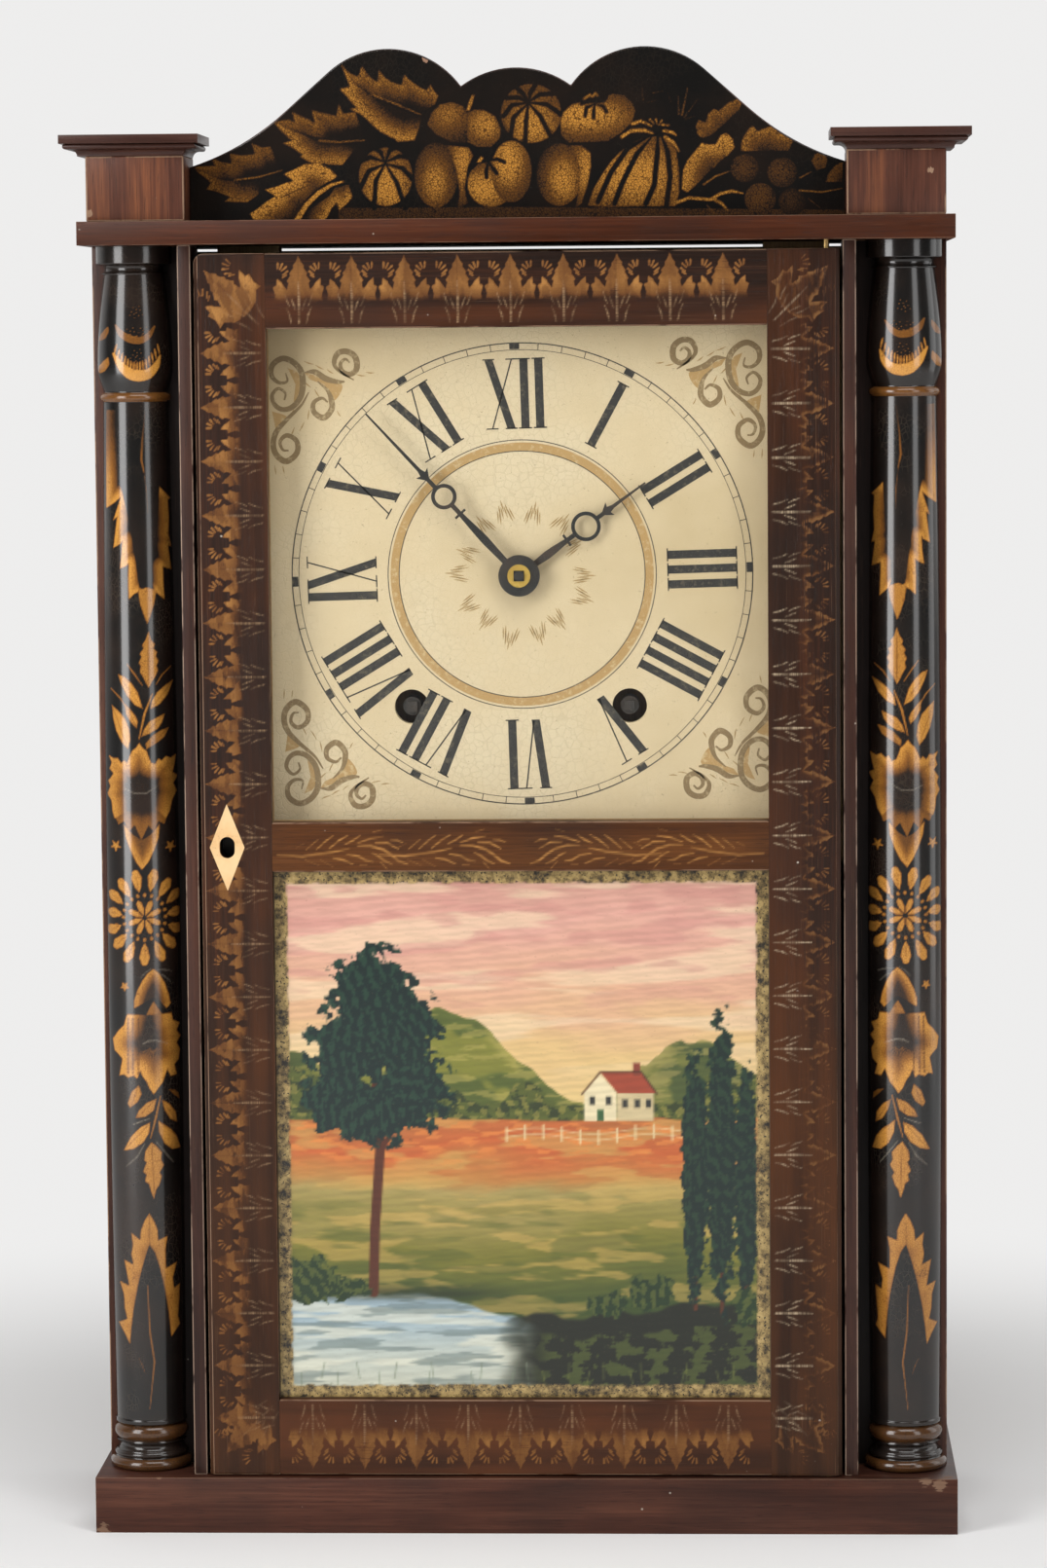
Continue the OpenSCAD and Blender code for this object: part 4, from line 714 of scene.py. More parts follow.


# The column's stencil, drawn group by group: each has its corner in the view, its scale and its start
def drawColumn(paint, side):
    v = columnView

    def view(corner, scale, start):
        def at(points):
            p = (np.array(points, float) - (start, 0)) / scale + corner
            x = (p[:, 0] - v["axis"] - (p[:, 1] - v["level"]) * v["lean"]) * v["across"]
            return np.stack([-side * x, v["top"] - v["up"] * p[:, 1]], -1)
        return at

    def rimmed(at, outline, rim, power, width=5, least=0.1):
        lay(paint, at(outline), power, rim=(at(rim), width, least))

    def thin(at, points, power, half=0.35, layer="gold"):
        lay(paint, at(points), power, [half * 0.5] + [half] * (len(points) - 2) + [half * 0.4], layer)

    # Capital: a bright crescent with a fringe, fainter ones beside and above it, and star speckles
    at = view((92, 245), 6.47, 0)
    for points, halves, power in (
            ([(155, 785), (205, 865), (262, 915), (322, 930), (385, 918), (437, 865), (462, 800)],
                [0.5, 1.9, 2.6, 2.8, 2.4, 1.6, 0.4], 1.0),
            ([(62, 900), (80, 880), (104, 850), (118, 815)], [1.0, 1.9, 1.7, 0.4], 0.55),
            ([(68, 690), (88, 670), (108, 640), (118, 615)], [0.8, 1.5, 1.2, 0.4], 0.35),
            ([(170, 600), (205, 655), (262, 690), (330, 700), (385, 670), (425, 610)],
                [0.5, 1.6, 1.9, 1.7, 1.5, 0.5], 0.32)):
        count = len(points)
        fine = np.interp(np.linspace(0, count - 1, 4 * (count - 1) + 1), np.arange(count), halves)
        lay(paint, smoothLine(at(points), 4), power, fine)
    for k in range(15):
        t = -1 + k / 7
        x, y = 310 + 148 * t, 905 - 118 * t * t
        thin(at, [(x, y), (x - 8 * t, y - 38), (x - 14 * t, y - 62)], 0.9, 0.42)
    for cx, cy in ((303, 520), (310, 800), (262, 660), (350, 655)):
        for k in range(11):
            a, r = k * 2.39996, 15 * math.sqrt(k)
            spot = (cx + r * math.cos(a), cy + r * math.sin(a) * 0.95)
            lay(paint, at([spot, (spot[0] + 2, spot[1])]), 0.6, [0.12, 0.12])
    # Pendant leaf: two toothed bands with a dark heart, and the bud between their ends
    at = view((92, 410), 4.583, 721)
    outer = [(797, 60), (796, 200), (797, 350), (797, 516), (835, 490), (866, 462), (850, 510), (831, 570),
        (848, 556), (840, 620), (831, 700), (862, 682), (872, 668), (868, 740), (861, 797), (893, 782),
        (902, 770), (900, 850), (903, 939), (925, 915), (945, 905)]
    inner = [(950, 880), (941, 820), (926, 720), (912, 620), (895, 540), (880, 480), (862, 400), (853, 300),
        (850, 60)]
    rimmed(at, outer + inner, outer, 0.95, 7, 0.0)
    outer = [(1046, 420), (1098, 474), (1085, 480), (1090, 560), (1088, 640), (1102, 700), (1086, 692),
        (1094, 750), (1102, 806), (1062, 790), (1064, 860), (1070, 944), (1044, 920), (1024, 902)]
    rimmed(at, outer + [(1014, 870), (1009, 800), (1014, 720), (1028, 620), (1040, 520)], outer, 0.9, 6.5,
        0.0)
    lay(paint, at([(943, 884), (965, 892), (985, 884), (1010, 892), (1031, 900), (1021, 960), (1004, 1015),
        (990, 1054), (975, 1018), (956, 962)]), 0.66)
    thin(at, [(979, 66), (966, 190), (961, 290), (974, 352)], 0.6, 0.5)
    thin(at, [(974, 352), (986, 450), (990, 540)], 0.3, 0.25)
    # Bud, spray of leaves, open flower with a shaded middle, and the petal below it
    at = view((92, 640), 4.583, 1235)
    lay(paint, at([(1508, 36), (1495, 75), (1479, 98), (1486, 114), (1468, 138), (1476, 154), (1464, 180),
        (1473, 198), (1468, 222), (1485, 250), (1497, 275), (1510, 299), (1525, 270), (1540, 247),
        (1553, 216), (1545, 197), (1555, 175), (1542, 152), (1548, 134), (1532, 116), (1538, 96),
        (1520, 75)]), 0.7)
    thin(at, [(1508, 70), (1509, 180), (1510, 280)], 0.35, 0.25)
    thin(at, [(1525, 330), (1490, 420), (1465, 535)], 0.7, 0.55)
    for points, power in (
            ([(1366, 236), (1395, 246), (1427, 275), (1457, 320), (1480, 394), (1445, 377), (1410, 337),
                (1384, 286)], 0.85),
            ([(1624, 268), (1590, 288), (1550, 320), (1524, 360), (1518, 398), (1560, 377), (1597, 335),
                (1612, 300)], 0.85),
            ([(1338, 382), (1343, 440), (1358, 500), (1384, 552), (1412, 584), (1423, 540), (1417, 490),
                (1397, 440), (1370, 410)], 0.85),
            ([(1398, 372), (1422, 398), (1447, 430), (1458, 456), (1452, 484), (1425, 457), (1404, 420)],
                0.75),
            ([(1584, 423), (1550, 438), (1514, 455), (1489, 490), (1478, 524), (1515, 512), (1552, 490),
                (1573, 460)], 0.75),
            ([(1604, 488), (1570, 498), (1530, 520), (1494, 560), (1500, 584), (1540, 562), (1584, 530)],
                0.55)):
        lay(paint, at(points), power)
        thin(at, [points[0], points[4]], 0.4, 0.2)
    for points in ([(1408, 188), (1440, 230), (1480, 287)], [(1614, 202), (1572, 240), (1544, 284)],
            [(1333, 303), (1378, 348), (1402, 388)]):
        thin(at, points, 0.7, 0.3)
    crown = [(1350, 912), (1340, 880), (1335, 830), (1316, 800), (1330, 762), (1320, 738), (1345, 702),
        (1326, 680), (1336, 650), (1322, 618), (1345, 630), (1365, 628), (1380, 652), (1395, 636),
        (1408, 650), (1420, 618), (1432, 592), (1450, 578), (1465, 556), (1480, 578), (1500, 595),
        (1508, 620), (1520, 648), (1540, 656), (1555, 630), (1570, 642), (1590, 622), (1612, 632),
        (1638, 618), (1632, 660), (1622, 700), (1647, 718), (1626, 752), (1642, 790), (1620, 830),
        (1610, 880), (1590, 912)]
    beard = [(1345, 890), (1368, 940), (1395, 922), (1416, 972), (1444, 940), (1476, 1010), (1508, 942),
        (1534, 972), (1556, 924), (1584, 940), (1600, 890)]
    rimmed(at, beard + [(1560, 820), (1390, 820)], beard, 0.4, 8, 0.1)
    rimmed(at, crown + [(1560, 880), (1480, 850), (1400, 880)], crown, 0.85, 9, 0.06)
    for k in range(7):
        thin(at, [(1405 + k * 24, 745 - 6 * math.sin(k)), (1412 + k * 24, 770)], 0.08, 0.35)
    thin(at, [(1400, 770), (1440, 790), (1500, 790), (1550, 760)], 0.5, 0.25, "pale")
    petal = [(1393, 940), (1402, 1000), (1425, 1060), (1452, 1115), (1478, 1150), (1508, 1115),
        (1535, 1060), (1556, 1000), (1560, 940)]
    rimmed(at, petal + [(1520, 985), (1478, 1010), (1435, 985)], petal, 0.85, 5.5, 0.25)

    def fleuron(at, cx, cy, power):
        for k in range(5):
            a = 0.3 + 2 * math.pi * k / 5
            lay(paint, at([(cx, cy), (cx + 22 * math.cos(a), cy + 24 * math.sin(a))]), power, [0.9, 0.3])

    fleuron(at, 1355, 1040, 0.75)
    fleuron(at, 1612, 1045, 0.7)
    # Daisy, unrolled: an arc along the wood shows as the sine of its angle
    at = view((0, 0), 1, 0)

    def unrolled(points):
        return at([(147.8 + 36.8 * math.sin(x / 36.8), 940 + y) for x, y in points])

    for k in range(15):
        a = math.pi / 2 + 2 * math.pi * k / 15
        long = 1 + 0.05 * math.sin(k * 2.7)
        lay(paint, unrolled([(r * long * math.cos(a), r * long * math.sin(a)) for r in (27, 33, 41, 46,
            48)]), 0.8, [0.25, 1.6, 2.5, 1.7, 0.5])
        thin(unrolled, [(31 * math.cos(a), 31 * math.sin(a)), (42 * math.cos(a), 42 * math.sin(a))], 0.4,
            0.25)
    for k in range(20):
        a = 2 * math.pi * k / 20
        lay(paint, unrolled([(22.5 * math.cos(a), 22.5 * math.sin(a)),
            (23.5 * math.cos(a), 23.5 * math.sin(a))]), 0.6, [0.75, 0.75])
    for k in range(8):
        a = math.pi / 8 * (2 * k + 1)
        lay(paint, unrolled([(r * math.cos(a), r * math.sin(a)) for r in (3, 9, 15, 18)]), 0.75,
            [0.2, 1.3, 1.3, 0.3])
    # Petal and small bud under the daisy
    at = view((92, 870), 5.789, 0)
    petal = [(262, 945), (262, 900), (280, 840), (310, 780), (340, 740), (375, 712), (408, 740), (442, 800),
        (466, 870), (477, 925), (456, 952)]
    rimmed(at, petal + [(420, 915), (375, 885), (320, 915)], petal, 0.8, 5.5, 0.12)
    lay(paint, at([(375, 908), (350, 950), (331, 990), (318, 1022), (440, 1022), (414, 965), (392, 930)]),
        0.5)
    for points in ([(300, 765), (325, 735), (360, 712)], [(395, 722), (440, 722), (486, 736)],
            [(398, 742), (440, 760), (478, 796)]):
        thin(at, points, 0.45, 0.25, "pale")
    fleuron(at, 205, 818, 0.75)
    # Lower flower with dotted rows on its left, a dark middle with rays, a spray and a leaf that points down
    at = view((92, 1040), 5.238, 647)
    crown = [(1084, 0), (1092, 40), (1128, 62), (1112, 100), (1134, 132), (1112, 165), (1130, 205),
        (1124, 255), (1100, 282), (1114, 338), (1080, 340), (1062, 300), (1050, 332), (1036, 372),
        (1011, 402), (990, 432), (966, 398), (950, 362), (928, 332), (915, 300), (900, 346), (880, 330),
        (850, 342), (828, 326), (804, 334), (820, 242), (798, 218), (778, 200), (768, 140), (798, 92),
        (828, 60), (845, 0)]
    rimmed(at, crown, crown, 0.95, 11, 0.06)
    for x in (850, 876, 906):
        for y in range(20, 330, 24):
            lay(paint, at([(x, y), (x, y + 13)]), 0.12, [0.28, 0.28])
    for k in range(9):
        a = math.radians(20 + 17.5 * k)
        thin(at, [(985 + 18 * math.cos(a), 178 + 18 * math.sin(a)),
            (985 + 62 * math.cos(a), 178 + 76 * math.sin(a))], 0.35, 0.25)
    thin(at, [(930, 158), (960, 143), (1000, 140), (1062, 162)], 0.6, 0.35, "pale")
    thin(at, [(1025, 445), (1000, 560), (972, 668)], 0.6, 0.5)
    for points, power in (
            ([(908, 382), (870, 418), (848, 484), (862, 504), (902, 472), (922, 430)], 0.7),
            ([(1003, 458), (950, 478), (908, 520), (892, 558), (942, 553), (988, 520)], 0.7),
            ([(1033, 466), (1048, 520), (1078, 572), (1114, 594), (1108, 540), (1072, 490)], 0.7),
            ([(968, 586), (920, 608), (868, 660), (827, 740), (880, 728), (932, 692), (963, 640)], 0.85),
            ([(1013, 576), (1040, 598), (1082, 630), (1112, 670), (1134, 740), (1090, 738), (1048, 702),
                (1019, 640)], 0.8),
            ([(1072, 414), (1095, 440), (1128, 474), (1122, 440), (1100, 418)], 0.4)):
        lay(paint, at(points), power)
        thin(at, [points[0], points[3]], 0.35, 0.2)
    for points in ([(873, 597), (918, 580), (962, 563)], [(843, 823), (898, 772), (940, 700)],
            [(1000, 688), (1040, 740), (1094, 808)]):
        thin(at, points, 0.55, 0.3, "pale")
    lay(paint, at([(975, 692), (944, 740), (938, 790), (951, 800), (932, 850), (950, 868), (943, 902),
        (965, 920), (975, 960), (990, 998), (1001, 950), (1017, 930), (1033, 880), (1020, 860), (1043, 820),
        (1028, 790), (1032, 750), (1002, 714)]), 0.72)
    thin(at, [(978, 715), (985, 850), (990, 960)], 0.35, 0.25)
    # Toothed leaf that stands on the base
    at = view((92, 1235), 3.86, 1233)
    left = [(1467, 43), (1449, 70), (1434, 110), (1431, 150), (1396, 122), (1402, 170), (1396, 208),
        (1405, 250), (1368, 233), (1379, 290), (1388, 336), (1350, 322), (1366, 372), (1370, 430),
        (1380, 470), (1346, 490), (1370, 530), (1390, 570)]
    right = [(1467, 43), (1486, 75), (1500, 110), (1502, 152), (1539, 138), (1531, 190), (1533, 268),
        (1577, 248), (1561, 310), (1566, 352), (1589, 338), (1586, 400), (1582, 470), (1590, 500),
        (1556, 545)]
    rimmed(at, left + [(1396, 500), (1404, 430), (1422, 330), (1441, 250), (1456, 200), (1467, 165)], left,
        0.72, 11, 0.4)
    rimmed(at, right + [(1545, 440), (1530, 350), (1510, 260), (1490, 200), (1467, 165)], right, 0.72, 11,
        0.4)
    thin(at, [(1460, 330), (1470, 520), (1488, 640), (1470, 832)], 0.4, 0.4)
    thin(at, [(1425, 625), (1440, 655), (1452, 690)], 0.3, 0.25)


# Half column: x is side X + r sin a and y is Y - r cos a, with a from -90 to 90 degrees and r from the height
def makeColumn(side, s):
    z = np.concatenate([np.arange(0, 26, 0.3), np.arange(26, 526, 0.68),
        np.arange(526, s["height"] + 0.01, 0.32), [s["height"]]])
    r = columnRadius(z)
    z = np.concatenate([[0], z, [s["height"]]])
    r = np.concatenate([[0.01], r, [0.01]])
    a = np.radians(np.linspace(-90, 90, 91))
    points = np.stack([side * s["x"] + r[:, None] * np.sin(a), s["y"] - r[:, None] * np.cos(a),
                       s["z"] + z[:, None] + 0 * a], -1)
    turn = math.radians(s["turn"][side])
    across = r[:, None] * np.sin(a - turn) + 0 * z[:, None]
    height = s["z"] + z[:, None] + 0 * a
    paint = newPaint(across, height)
    drawColumn(paint, side)
    paint["gold"] *= 1 - 0.6 * smoothBetween(1.2, 1.45, np.abs(a - turn))
    paint["gold"] *= 1 - 0.75 * smoothBetween(508, 546, height) * (height < 553)
    rings = np.where((z > 527.1) & (z < 531.5), 0.26, 0.0) + np.where((z < 6) | ((z > 14) & (z < 23)), 0.15,
        0.0)
    paint["gold"] = np.maximum(paint["gold"], rings[:, None])
    ob = gridPiece("columnPaint_" + ("left" if side < 0 else "right"), points, columnFinish,
        fieldsOf(paint), wrap=True)
    putPiece(ob, "case", "black_paint", "half_column_" + ("left" if side < 0 else "right"))


columnFinish = gildedMaterial("columnGilding", {
    "goldDark": (0.060, 0.024, 0.008), "goldMid": (0.22, 0.085, 0.015), "goldLight": (0.54, 0.25, 0.045),
    "pale": (0.40, 0.34, 0.26),
    "rough": 0.4, "coat": 1.0, "coatRough": 0.16, "ior": 1.1, "loss": 0.58, "lossLevel": 0.55,
    "dust": 0.12}, blackSockets)
makeColumn(-1, columnSettings)
makeColumn(1, columnSettings)
print("stage: columns ready")

# Splat: body with eased edges, and a painted front that follows its outline

splatSettings = {
    "y": -37.0, "z": 641.3, "half": 158.75, "step": 0.62, "rows": 134,
    "proud": 0.12, "inset": 0.4, "foot": 0.3, "rim": 0.9,
}
# The enlarged views that the stencil was drawn in: their middle and top, lean, and mm for a step
splatView = {"middle": 529.75, "across": 0.4704, "leanX": 0.0039, "top": 748.3, "up": 0.4662, "leanZ": 0.0047}


# Height of the outline: the higher of a middle arc and a side arc, a straight fall, then a hollow arc
def splatHeight(x):
    x = np.abs(x)
    middle = 27.8 + np.sqrt(np.maximum(44.9 ** 2 - x ** 2, 0))
    lobe = 38.7 + np.sqrt(np.maximum(43.5 ** 2 - (x - 62) ** 2, 0))
    fall = 71.28 - (x - 90.82) * math.tan(math.radians(41.5))
    hollow = 147.64 - np.sqrt(np.maximum(127 ** 2 - (x - 196.17) ** 2, 0))
    crown = np.maximum(np.where(x < 44.9, middle, 0), np.where(x > 18.5, lobe, 0))
    return np.select([x < 90.82, x < 112.02], [crown, fall], hollow)


# Fruit and leaves shaded as bronze powder is: bright at a heart or along a rim, and dark where it thins out.
# Drawn in the scale of two enlarged views, the left half's and the right half's
def drawSplat(paint):
    v = splatView

    def view(corner, scale):
        def at(points):
            p = np.array(points, float) / scale + corner
            x = (p[:, 0] - v["middle"]) * v["across"] - v["leanX"] * p[:, 1]
            return np.stack([x, v["top"] - v["leanZ"] * p[:, 0] - v["up"] * p[:, 1]], -1)
        return at

    left, right = view((190, 45), 5.714), view((530, 45), 5.882)

    def half(at, edge, rib, power, width=7.5, least=0.04):
        lay(paint, np.concatenate([at(edge), at(rib)]), power, rim=(at(edge), width * 1.35, least + 0.05))

    def ring(cx, cy, rx, ry):
        return [(cx + rx * math.cos(t), cy + ry * math.sin(t)) for t in np.linspace(0, 2 * math.pi, 33)[:-1]]

    def fruit(at, outline, power, heart, radii, least=0.12):
        lay(paint, at(outline), power, glow=(at([heart])[0], radii, least))

    def ribs(at, lines, half):
        for line in lines:
            lay(paint, at(line), 0, [half * 0.35] + [half] * (len(line) - 1))

    def stem(at, points, power, half):
        lay(paint, at(points), power, [half] * (len(points) - 1) + [half * 0.4])

    # Reddish strip along the foot
    lay(paint, left([(900, 958), (1990, 952), (3900, 968), (3900, 1040), (900, 1040)]), 0.17)
    # Four leaves at the left
    half(left, [(1490, 300), (1465, 272), (1444, 236), (1424, 268), (1380, 250), (1330, 214), (1290, 176),
        (1276, 238), (1230, 224), (1180, 196), (1142, 150), (1132, 222), (1100, 200), (1070, 166),
        (1040, 126), (1022, 186), (985, 176), (955, 155), (922, 118)],
        [(1000, 225), (1100, 290), (1250, 352), (1390, 400), (1470, 350)], 0.55)
    half(left, [(922, 118), (945, 180), (972, 245), (912, 260), (950, 300), (985, 342), (1014, 372),
        (968, 376), (1030, 404), (1075, 442), (1110, 476), (1150, 510), (1215, 545), (1236, 552),
        (1250, 570), (1300, 566), (1350, 560)], [(1400, 425), (1250, 372), (1100, 300), (1000, 232)], 0.72,
        8.5)
    half(left, [(1000, 395), (930, 405), (905, 350), (890, 420), (840, 408), (790, 398), (746, 384),
        (766, 470), (730, 440), (680, 420), (630, 394), (646, 460), (610, 440), (570, 445), (524, 456)],
        [(640, 500), (780, 548), (900, 560), (1060, 550)], 0.5, 7)
    half(left, [(524, 456), (560, 500), (608, 545), (632, 562), (576, 578), (630, 602), (690, 645),
        (676, 658), (740, 692), (800, 702), (860, 702), (925, 706)],
        [(1010, 600), (900, 578), (790, 568), (650, 510)], 0.68, 8)
    half(left, [(500, 600), (450, 604), (392, 580), (410, 642), (330, 652), (262, 640), (272, 700),
        (210, 690), (152, 666), (172, 712), (100, 715), (42, 716)],
        [(200, 790), (290, 796), (430, 776), (560, 740)], 0.5, 7)
    half(left, [(42, 716), (80, 755), (130, 792), (150, 812), (122, 850), (180, 862), (230, 882),
        (262, 897), (230, 922), (290, 926), (365, 926)], [(430, 880), (440, 800), (290, 800), (200, 794)],
        0.52, 8)
    half(left, [(380, 994), (430, 960), (480, 920), (530, 890), (470, 852), (530, 836), (592, 812),
        (640, 800), (580, 760), (640, 734), (700, 702), (780, 698), (850, 730), (894, 776)],
        [(800, 830), (720, 900), (670, 980), (650, 1030), (400, 1030)], 0.95, 9.5, 0.06)
    half(left, [(984, 898), (945, 940), (906, 972), (888, 930), (856, 970), (838, 1010), (820, 1030)],
         [(665, 1030), (740, 960), (850, 890), (880, 840), (960, 822)], 0.8, 7)
    for points, power, wide in (([(1098, 290), (1170, 320), (1250, 352), (1390, 412)], 0.6, 0.35),
            ([(790, 562), (900, 572), (1060, 560)], 0.6, 0.35),
            ([(290, 796), (430, 778), (570, 738)], 0.6, 0.35),
            ([(850, 900), (880, 866), (930, 836)], 0.4, 0.25),
            ([(560, 900), (640, 862), (760, 812)], 0.25, 0.25),
            ([(700, 810), (760, 806), (830, 790)], 0.25, 0.2)):
        stem(left, points, power, wide)
    lay(paint, left([(640, 1028), (700, 935), (780, 858), (860, 814), (920, 800), (938, 806), (860, 834),
        (790, 885), (724, 950), (676, 1028)]), 0.95)
    # Apple with two lobes and a stalk
    fruit(left, [(1425, 470), (1448, 402), (1500, 352), (1570, 336), (1632, 360), (1664, 408), (1668, 500),
        (1650, 580), (1560, 570), (1480, 530)], 0.6, (1540, 410), (11, 9))
    fruit(left, [(1662, 402), (1700, 382), (1762, 384), (1822, 420), (1856, 490), (1852, 550), (1800, 600),
        (1720, 600), (1660, 570), (1664, 480)], 0.78, (1765, 470), (10, 9))
    lay(paint, left([(1655, 385), (1668, 340), (1690, 292), (1704, 298), (1692, 340), (1676, 388)]), 0.7)
    # Small ribbed pumpkin
    fruit(left, ring(1180, 775, 158, 172), 0.98, (1185, 850), (11, 15), 0.3)
    ribs(left, [[(1176, 700), (1080, 742), (1028, 850)], [(1176, 700), (1122, 800), (1112, 960)],
        [(1180, 700), (1245, 810), (1296, 960)], [(1180, 700), (1280, 726), (1346, 800)],
        [(1176, 690), (1090, 660), (1020, 690)], [(1180, 690), (1260, 655), (1336, 660)],
        [(1176, 690), (1150, 630), (1100, 596)], [(1180, 690), (1205, 620), (1262, 590)]], 1.15)
    # Pear and its right-hand gleam
    fruit(left, ring(1478, 765, 130, 192), 0.78, (1470, 810), (8.2, 13.5), 0.04)
    lay(paint, left([(1528, 588), (1600, 596), (1668, 604), (1696, 650), (1662, 720), (1644, 850),
        (1664, 930), (1604, 964), (1616, 860), (1598, 735), (1566, 650)]), 0.85,
        glow=(left([(1630, 700)])[0], (5.5, 15), 0.1))
    # Tomato at the middle
    fruit(left, ring(1800, 815, 138, 138), 1.0, (1760, 850), (12, 10), 0.1)
    fruit(left, ring(1920, 745, 120, 182), 1.0, (1900, 690), (9, 14), 0.1)
    ribs(left, [[(1785, 685), (1720, 690), (1690, 720)], [(1785, 685), (1772, 740), (1774, 780)],
        [(1785, 685), (1815, 730), (1834, 756)], [(1790, 680), (1840, 672), (1880, 690)],
        [(1785, 680), (1760, 650), (1740, 640)], [(1790, 676), (1812, 640), (1822, 610)]], 0.95)
    lay(paint, left([(1716, 690), (1740, 656), (1756, 664), (1740, 690)]), 0.9)
    # Ribbed pumpkin at the top
    fruit(right, ring(96, 415, 182, 178), 0.85, (100, 480), (11, 11), 0.35)
    ribs(right, [[(80, 350), (-20, 365), (-70, 430)], [(78, 355), (-10, 440), (-30, 560)],
        [(78, 355), (66, 460), (60, 600)], [(82, 355), (150, 430), (218, 560)],
        [(84, 350), (190, 360), (290, 430)], [(82, 345), (150, 300), (230, 296)],
        [(80, 345), (92, 290), (120, 246)], [(78, 345), (50, 300), (10, 262)],
        [(78, 348), (20, 320), (-50, 320)]], 1.15)
    # Tomato at the right
    fruit(right, [(274, 462), (290, 410), (338, 364), (400, 348), (440, 352), (500, 350), (540, 318),
        (590, 296), (660, 308), (708, 355), (726, 408), (702, 470), (642, 530), (560, 582), (420, 590),
        (320, 592), (280, 545)], 0.95, (420, 430), (22, 9), 0.12)
    ribs(right, [[(480, 360), (430, 380), (422, 430)], [(480, 362), (474, 400), (474, 440)],
        [(485, 360), (530, 372), (552, 404)], [(480, 350), (440, 345), (400, 356)],
        [(490, 352), (530, 340), (550, 320)]], 0.95)
    for points in ([(418, 325), (450, 305), (468, 318)], [(470, 310), (484, 294), (500, 312)]):
        stem(right, points, 0.7, 0.6)
    # Second pear and its gleam
    fruit(right, ring(266, 785, 140, 190), 0.92, (290, 820), (8.5, 13), 0.04)
    lay(paint, right([(326, 606), (400, 612), (455, 655), (458, 740), (436, 850), (402, 960), (366, 984),
        (386, 860), (392, 760), (368, 670)]), 0.85, glow=(right([(420, 740)])[0], (6, 15), 0.15))
    # Long ribbed squash fanning from its stalk
    lay(paint, right([(835, 555), (760, 568), (700, 600), (640, 642), (580, 704), (520, 792), (470, 880),
        (440, 972), (520, 980), (700, 976), (970, 976), (990, 900), (988, 760), (972, 640), (935, 578),
        (885, 556)]), 0.95, glow=(right([(720, 800)])[0], (26, 15), 0.25))
    ribs(right, [[(800, 560), (680, 625), (580, 770), (500, 950)],
        [(820, 562), (735, 660), (650, 830), (600, 960)]], 1.25)
    ribs(right, [[(862, 540), (858, 660), (840, 850), (790, 960)],
        [(885, 558), (922, 650), (936, 800), (915, 970)]], 1.3)
    for points, wide in (([(710, 478), (760, 462), (824, 492)], 0.8),
            ([(645, 556), (700, 520), (780, 516), (832, 536)], 0.85), ([(888, 484), (930, 488)], 0.5),
            ([(898, 520), (950, 530), (972, 548)], 0.7), ([(905, 556), (955, 590), (990, 645)], 0.7),
            ([(812, 452), (838, 478)], 0.45), ([(848, 450), (858, 482)], 0.4),
            ([(884, 458), (870, 484)], 0.4)):
        stem(right, points, 0.85, wide)
    # Leaves, berries and twigs at the right
    half(right, [(1100, 545), (1092, 490), (1108, 456), (1152, 472), (1163, 420), (1200, 388), (1226, 402),
        (1290, 350), (1352, 322), (1368, 346)], [(1350, 392), (1300, 440), (1240, 500), (1180, 548),
        (1130, 562)], 0.5, 7, 0.15)
    half(right, [(1008, 872), (1014, 760), (1040, 700), (1088, 640), (1128, 592), (1168, 604), (1212, 600),
        (1240, 548), (1276, 533), (1312, 570), (1322, 622)], [(1290, 662), (1240, 702), (1200, 742),
        (1160, 782), (1090, 850), (1040, 892)], 0.82, 9, 0.12)
    half(right, [(1362, 642), (1368, 580), (1400, 520), (1432, 488), (1462, 522), (1520, 500), (1562, 488),
        (1590, 532), (1660, 540), (1694, 548)], [(1670, 592), (1650, 642), (1540, 642), (1450, 642)], 0.6,
        8, 0.1)
    half(right, [(1788, 702), (1810, 660), (1862, 648), (1882, 690)], [(1872, 742), (1820, 762)], 0.4, 6, 0.2)
    half(right, [(1876, 830), (1890, 780), (1930, 730), (1976, 706)], [(1976, 830)], 0.38, 6, 0.2)
    for cx, cy, r, power in ((1385, 745, 86, 0.24), (1612, 772, 92, 0.24), (1480, 930, 96, 0.3),
            (1672, 950, 84, 0.16)):
        fruit(right, ring(cx, cy, r, r), power, (cx - 15, cy - 10), (6.5, 6.5), 0.35)
    for points, power, wide in (([(966, 958), (1050, 926), (1180, 936), (1240, 900), (1310, 884),
            (1376, 898)], 0.8, 0.75), ([(1196, 930), (1250, 962), (1284, 998)], 0.75, 0.7),
            ([(1138, 845), (1210, 795), (1294, 764)], 0.6, 0.4),
            ([(1720, 880), (1850, 890), (1972, 868)], 0.55, 0.4), ([(1718, 804), (1784, 768)], 0.5, 0.35),
            ([(1160, 970), (1206, 1026)], 0.4, 0.3), ([(1770, 930), (1842, 986)], 0.3, 0.3),
            ([(1200, 738), (1242, 670)], 0.45, 0.25), ([(1006, 425), (1040, 260)], 0.26, 0.6),
            ([(988, 420), (984, 312)], 0.24, 0.5), ([(1020, 440), (1100, 330)], 0.22, 0.4),
            ([(772, 335), (764, 250)], 0.22, 0.35), ([(830, 292), (892, 280)], 0.2, 0.35),
            ([(1030, 450), (1085, 430)], 0.2, 0.4), ([(800, 350), (870, 330)], 0.16, 0.3),
            ([(940, 350), (920, 290)], 0.16, 0.3)):
        stem(right, points, power, wide)


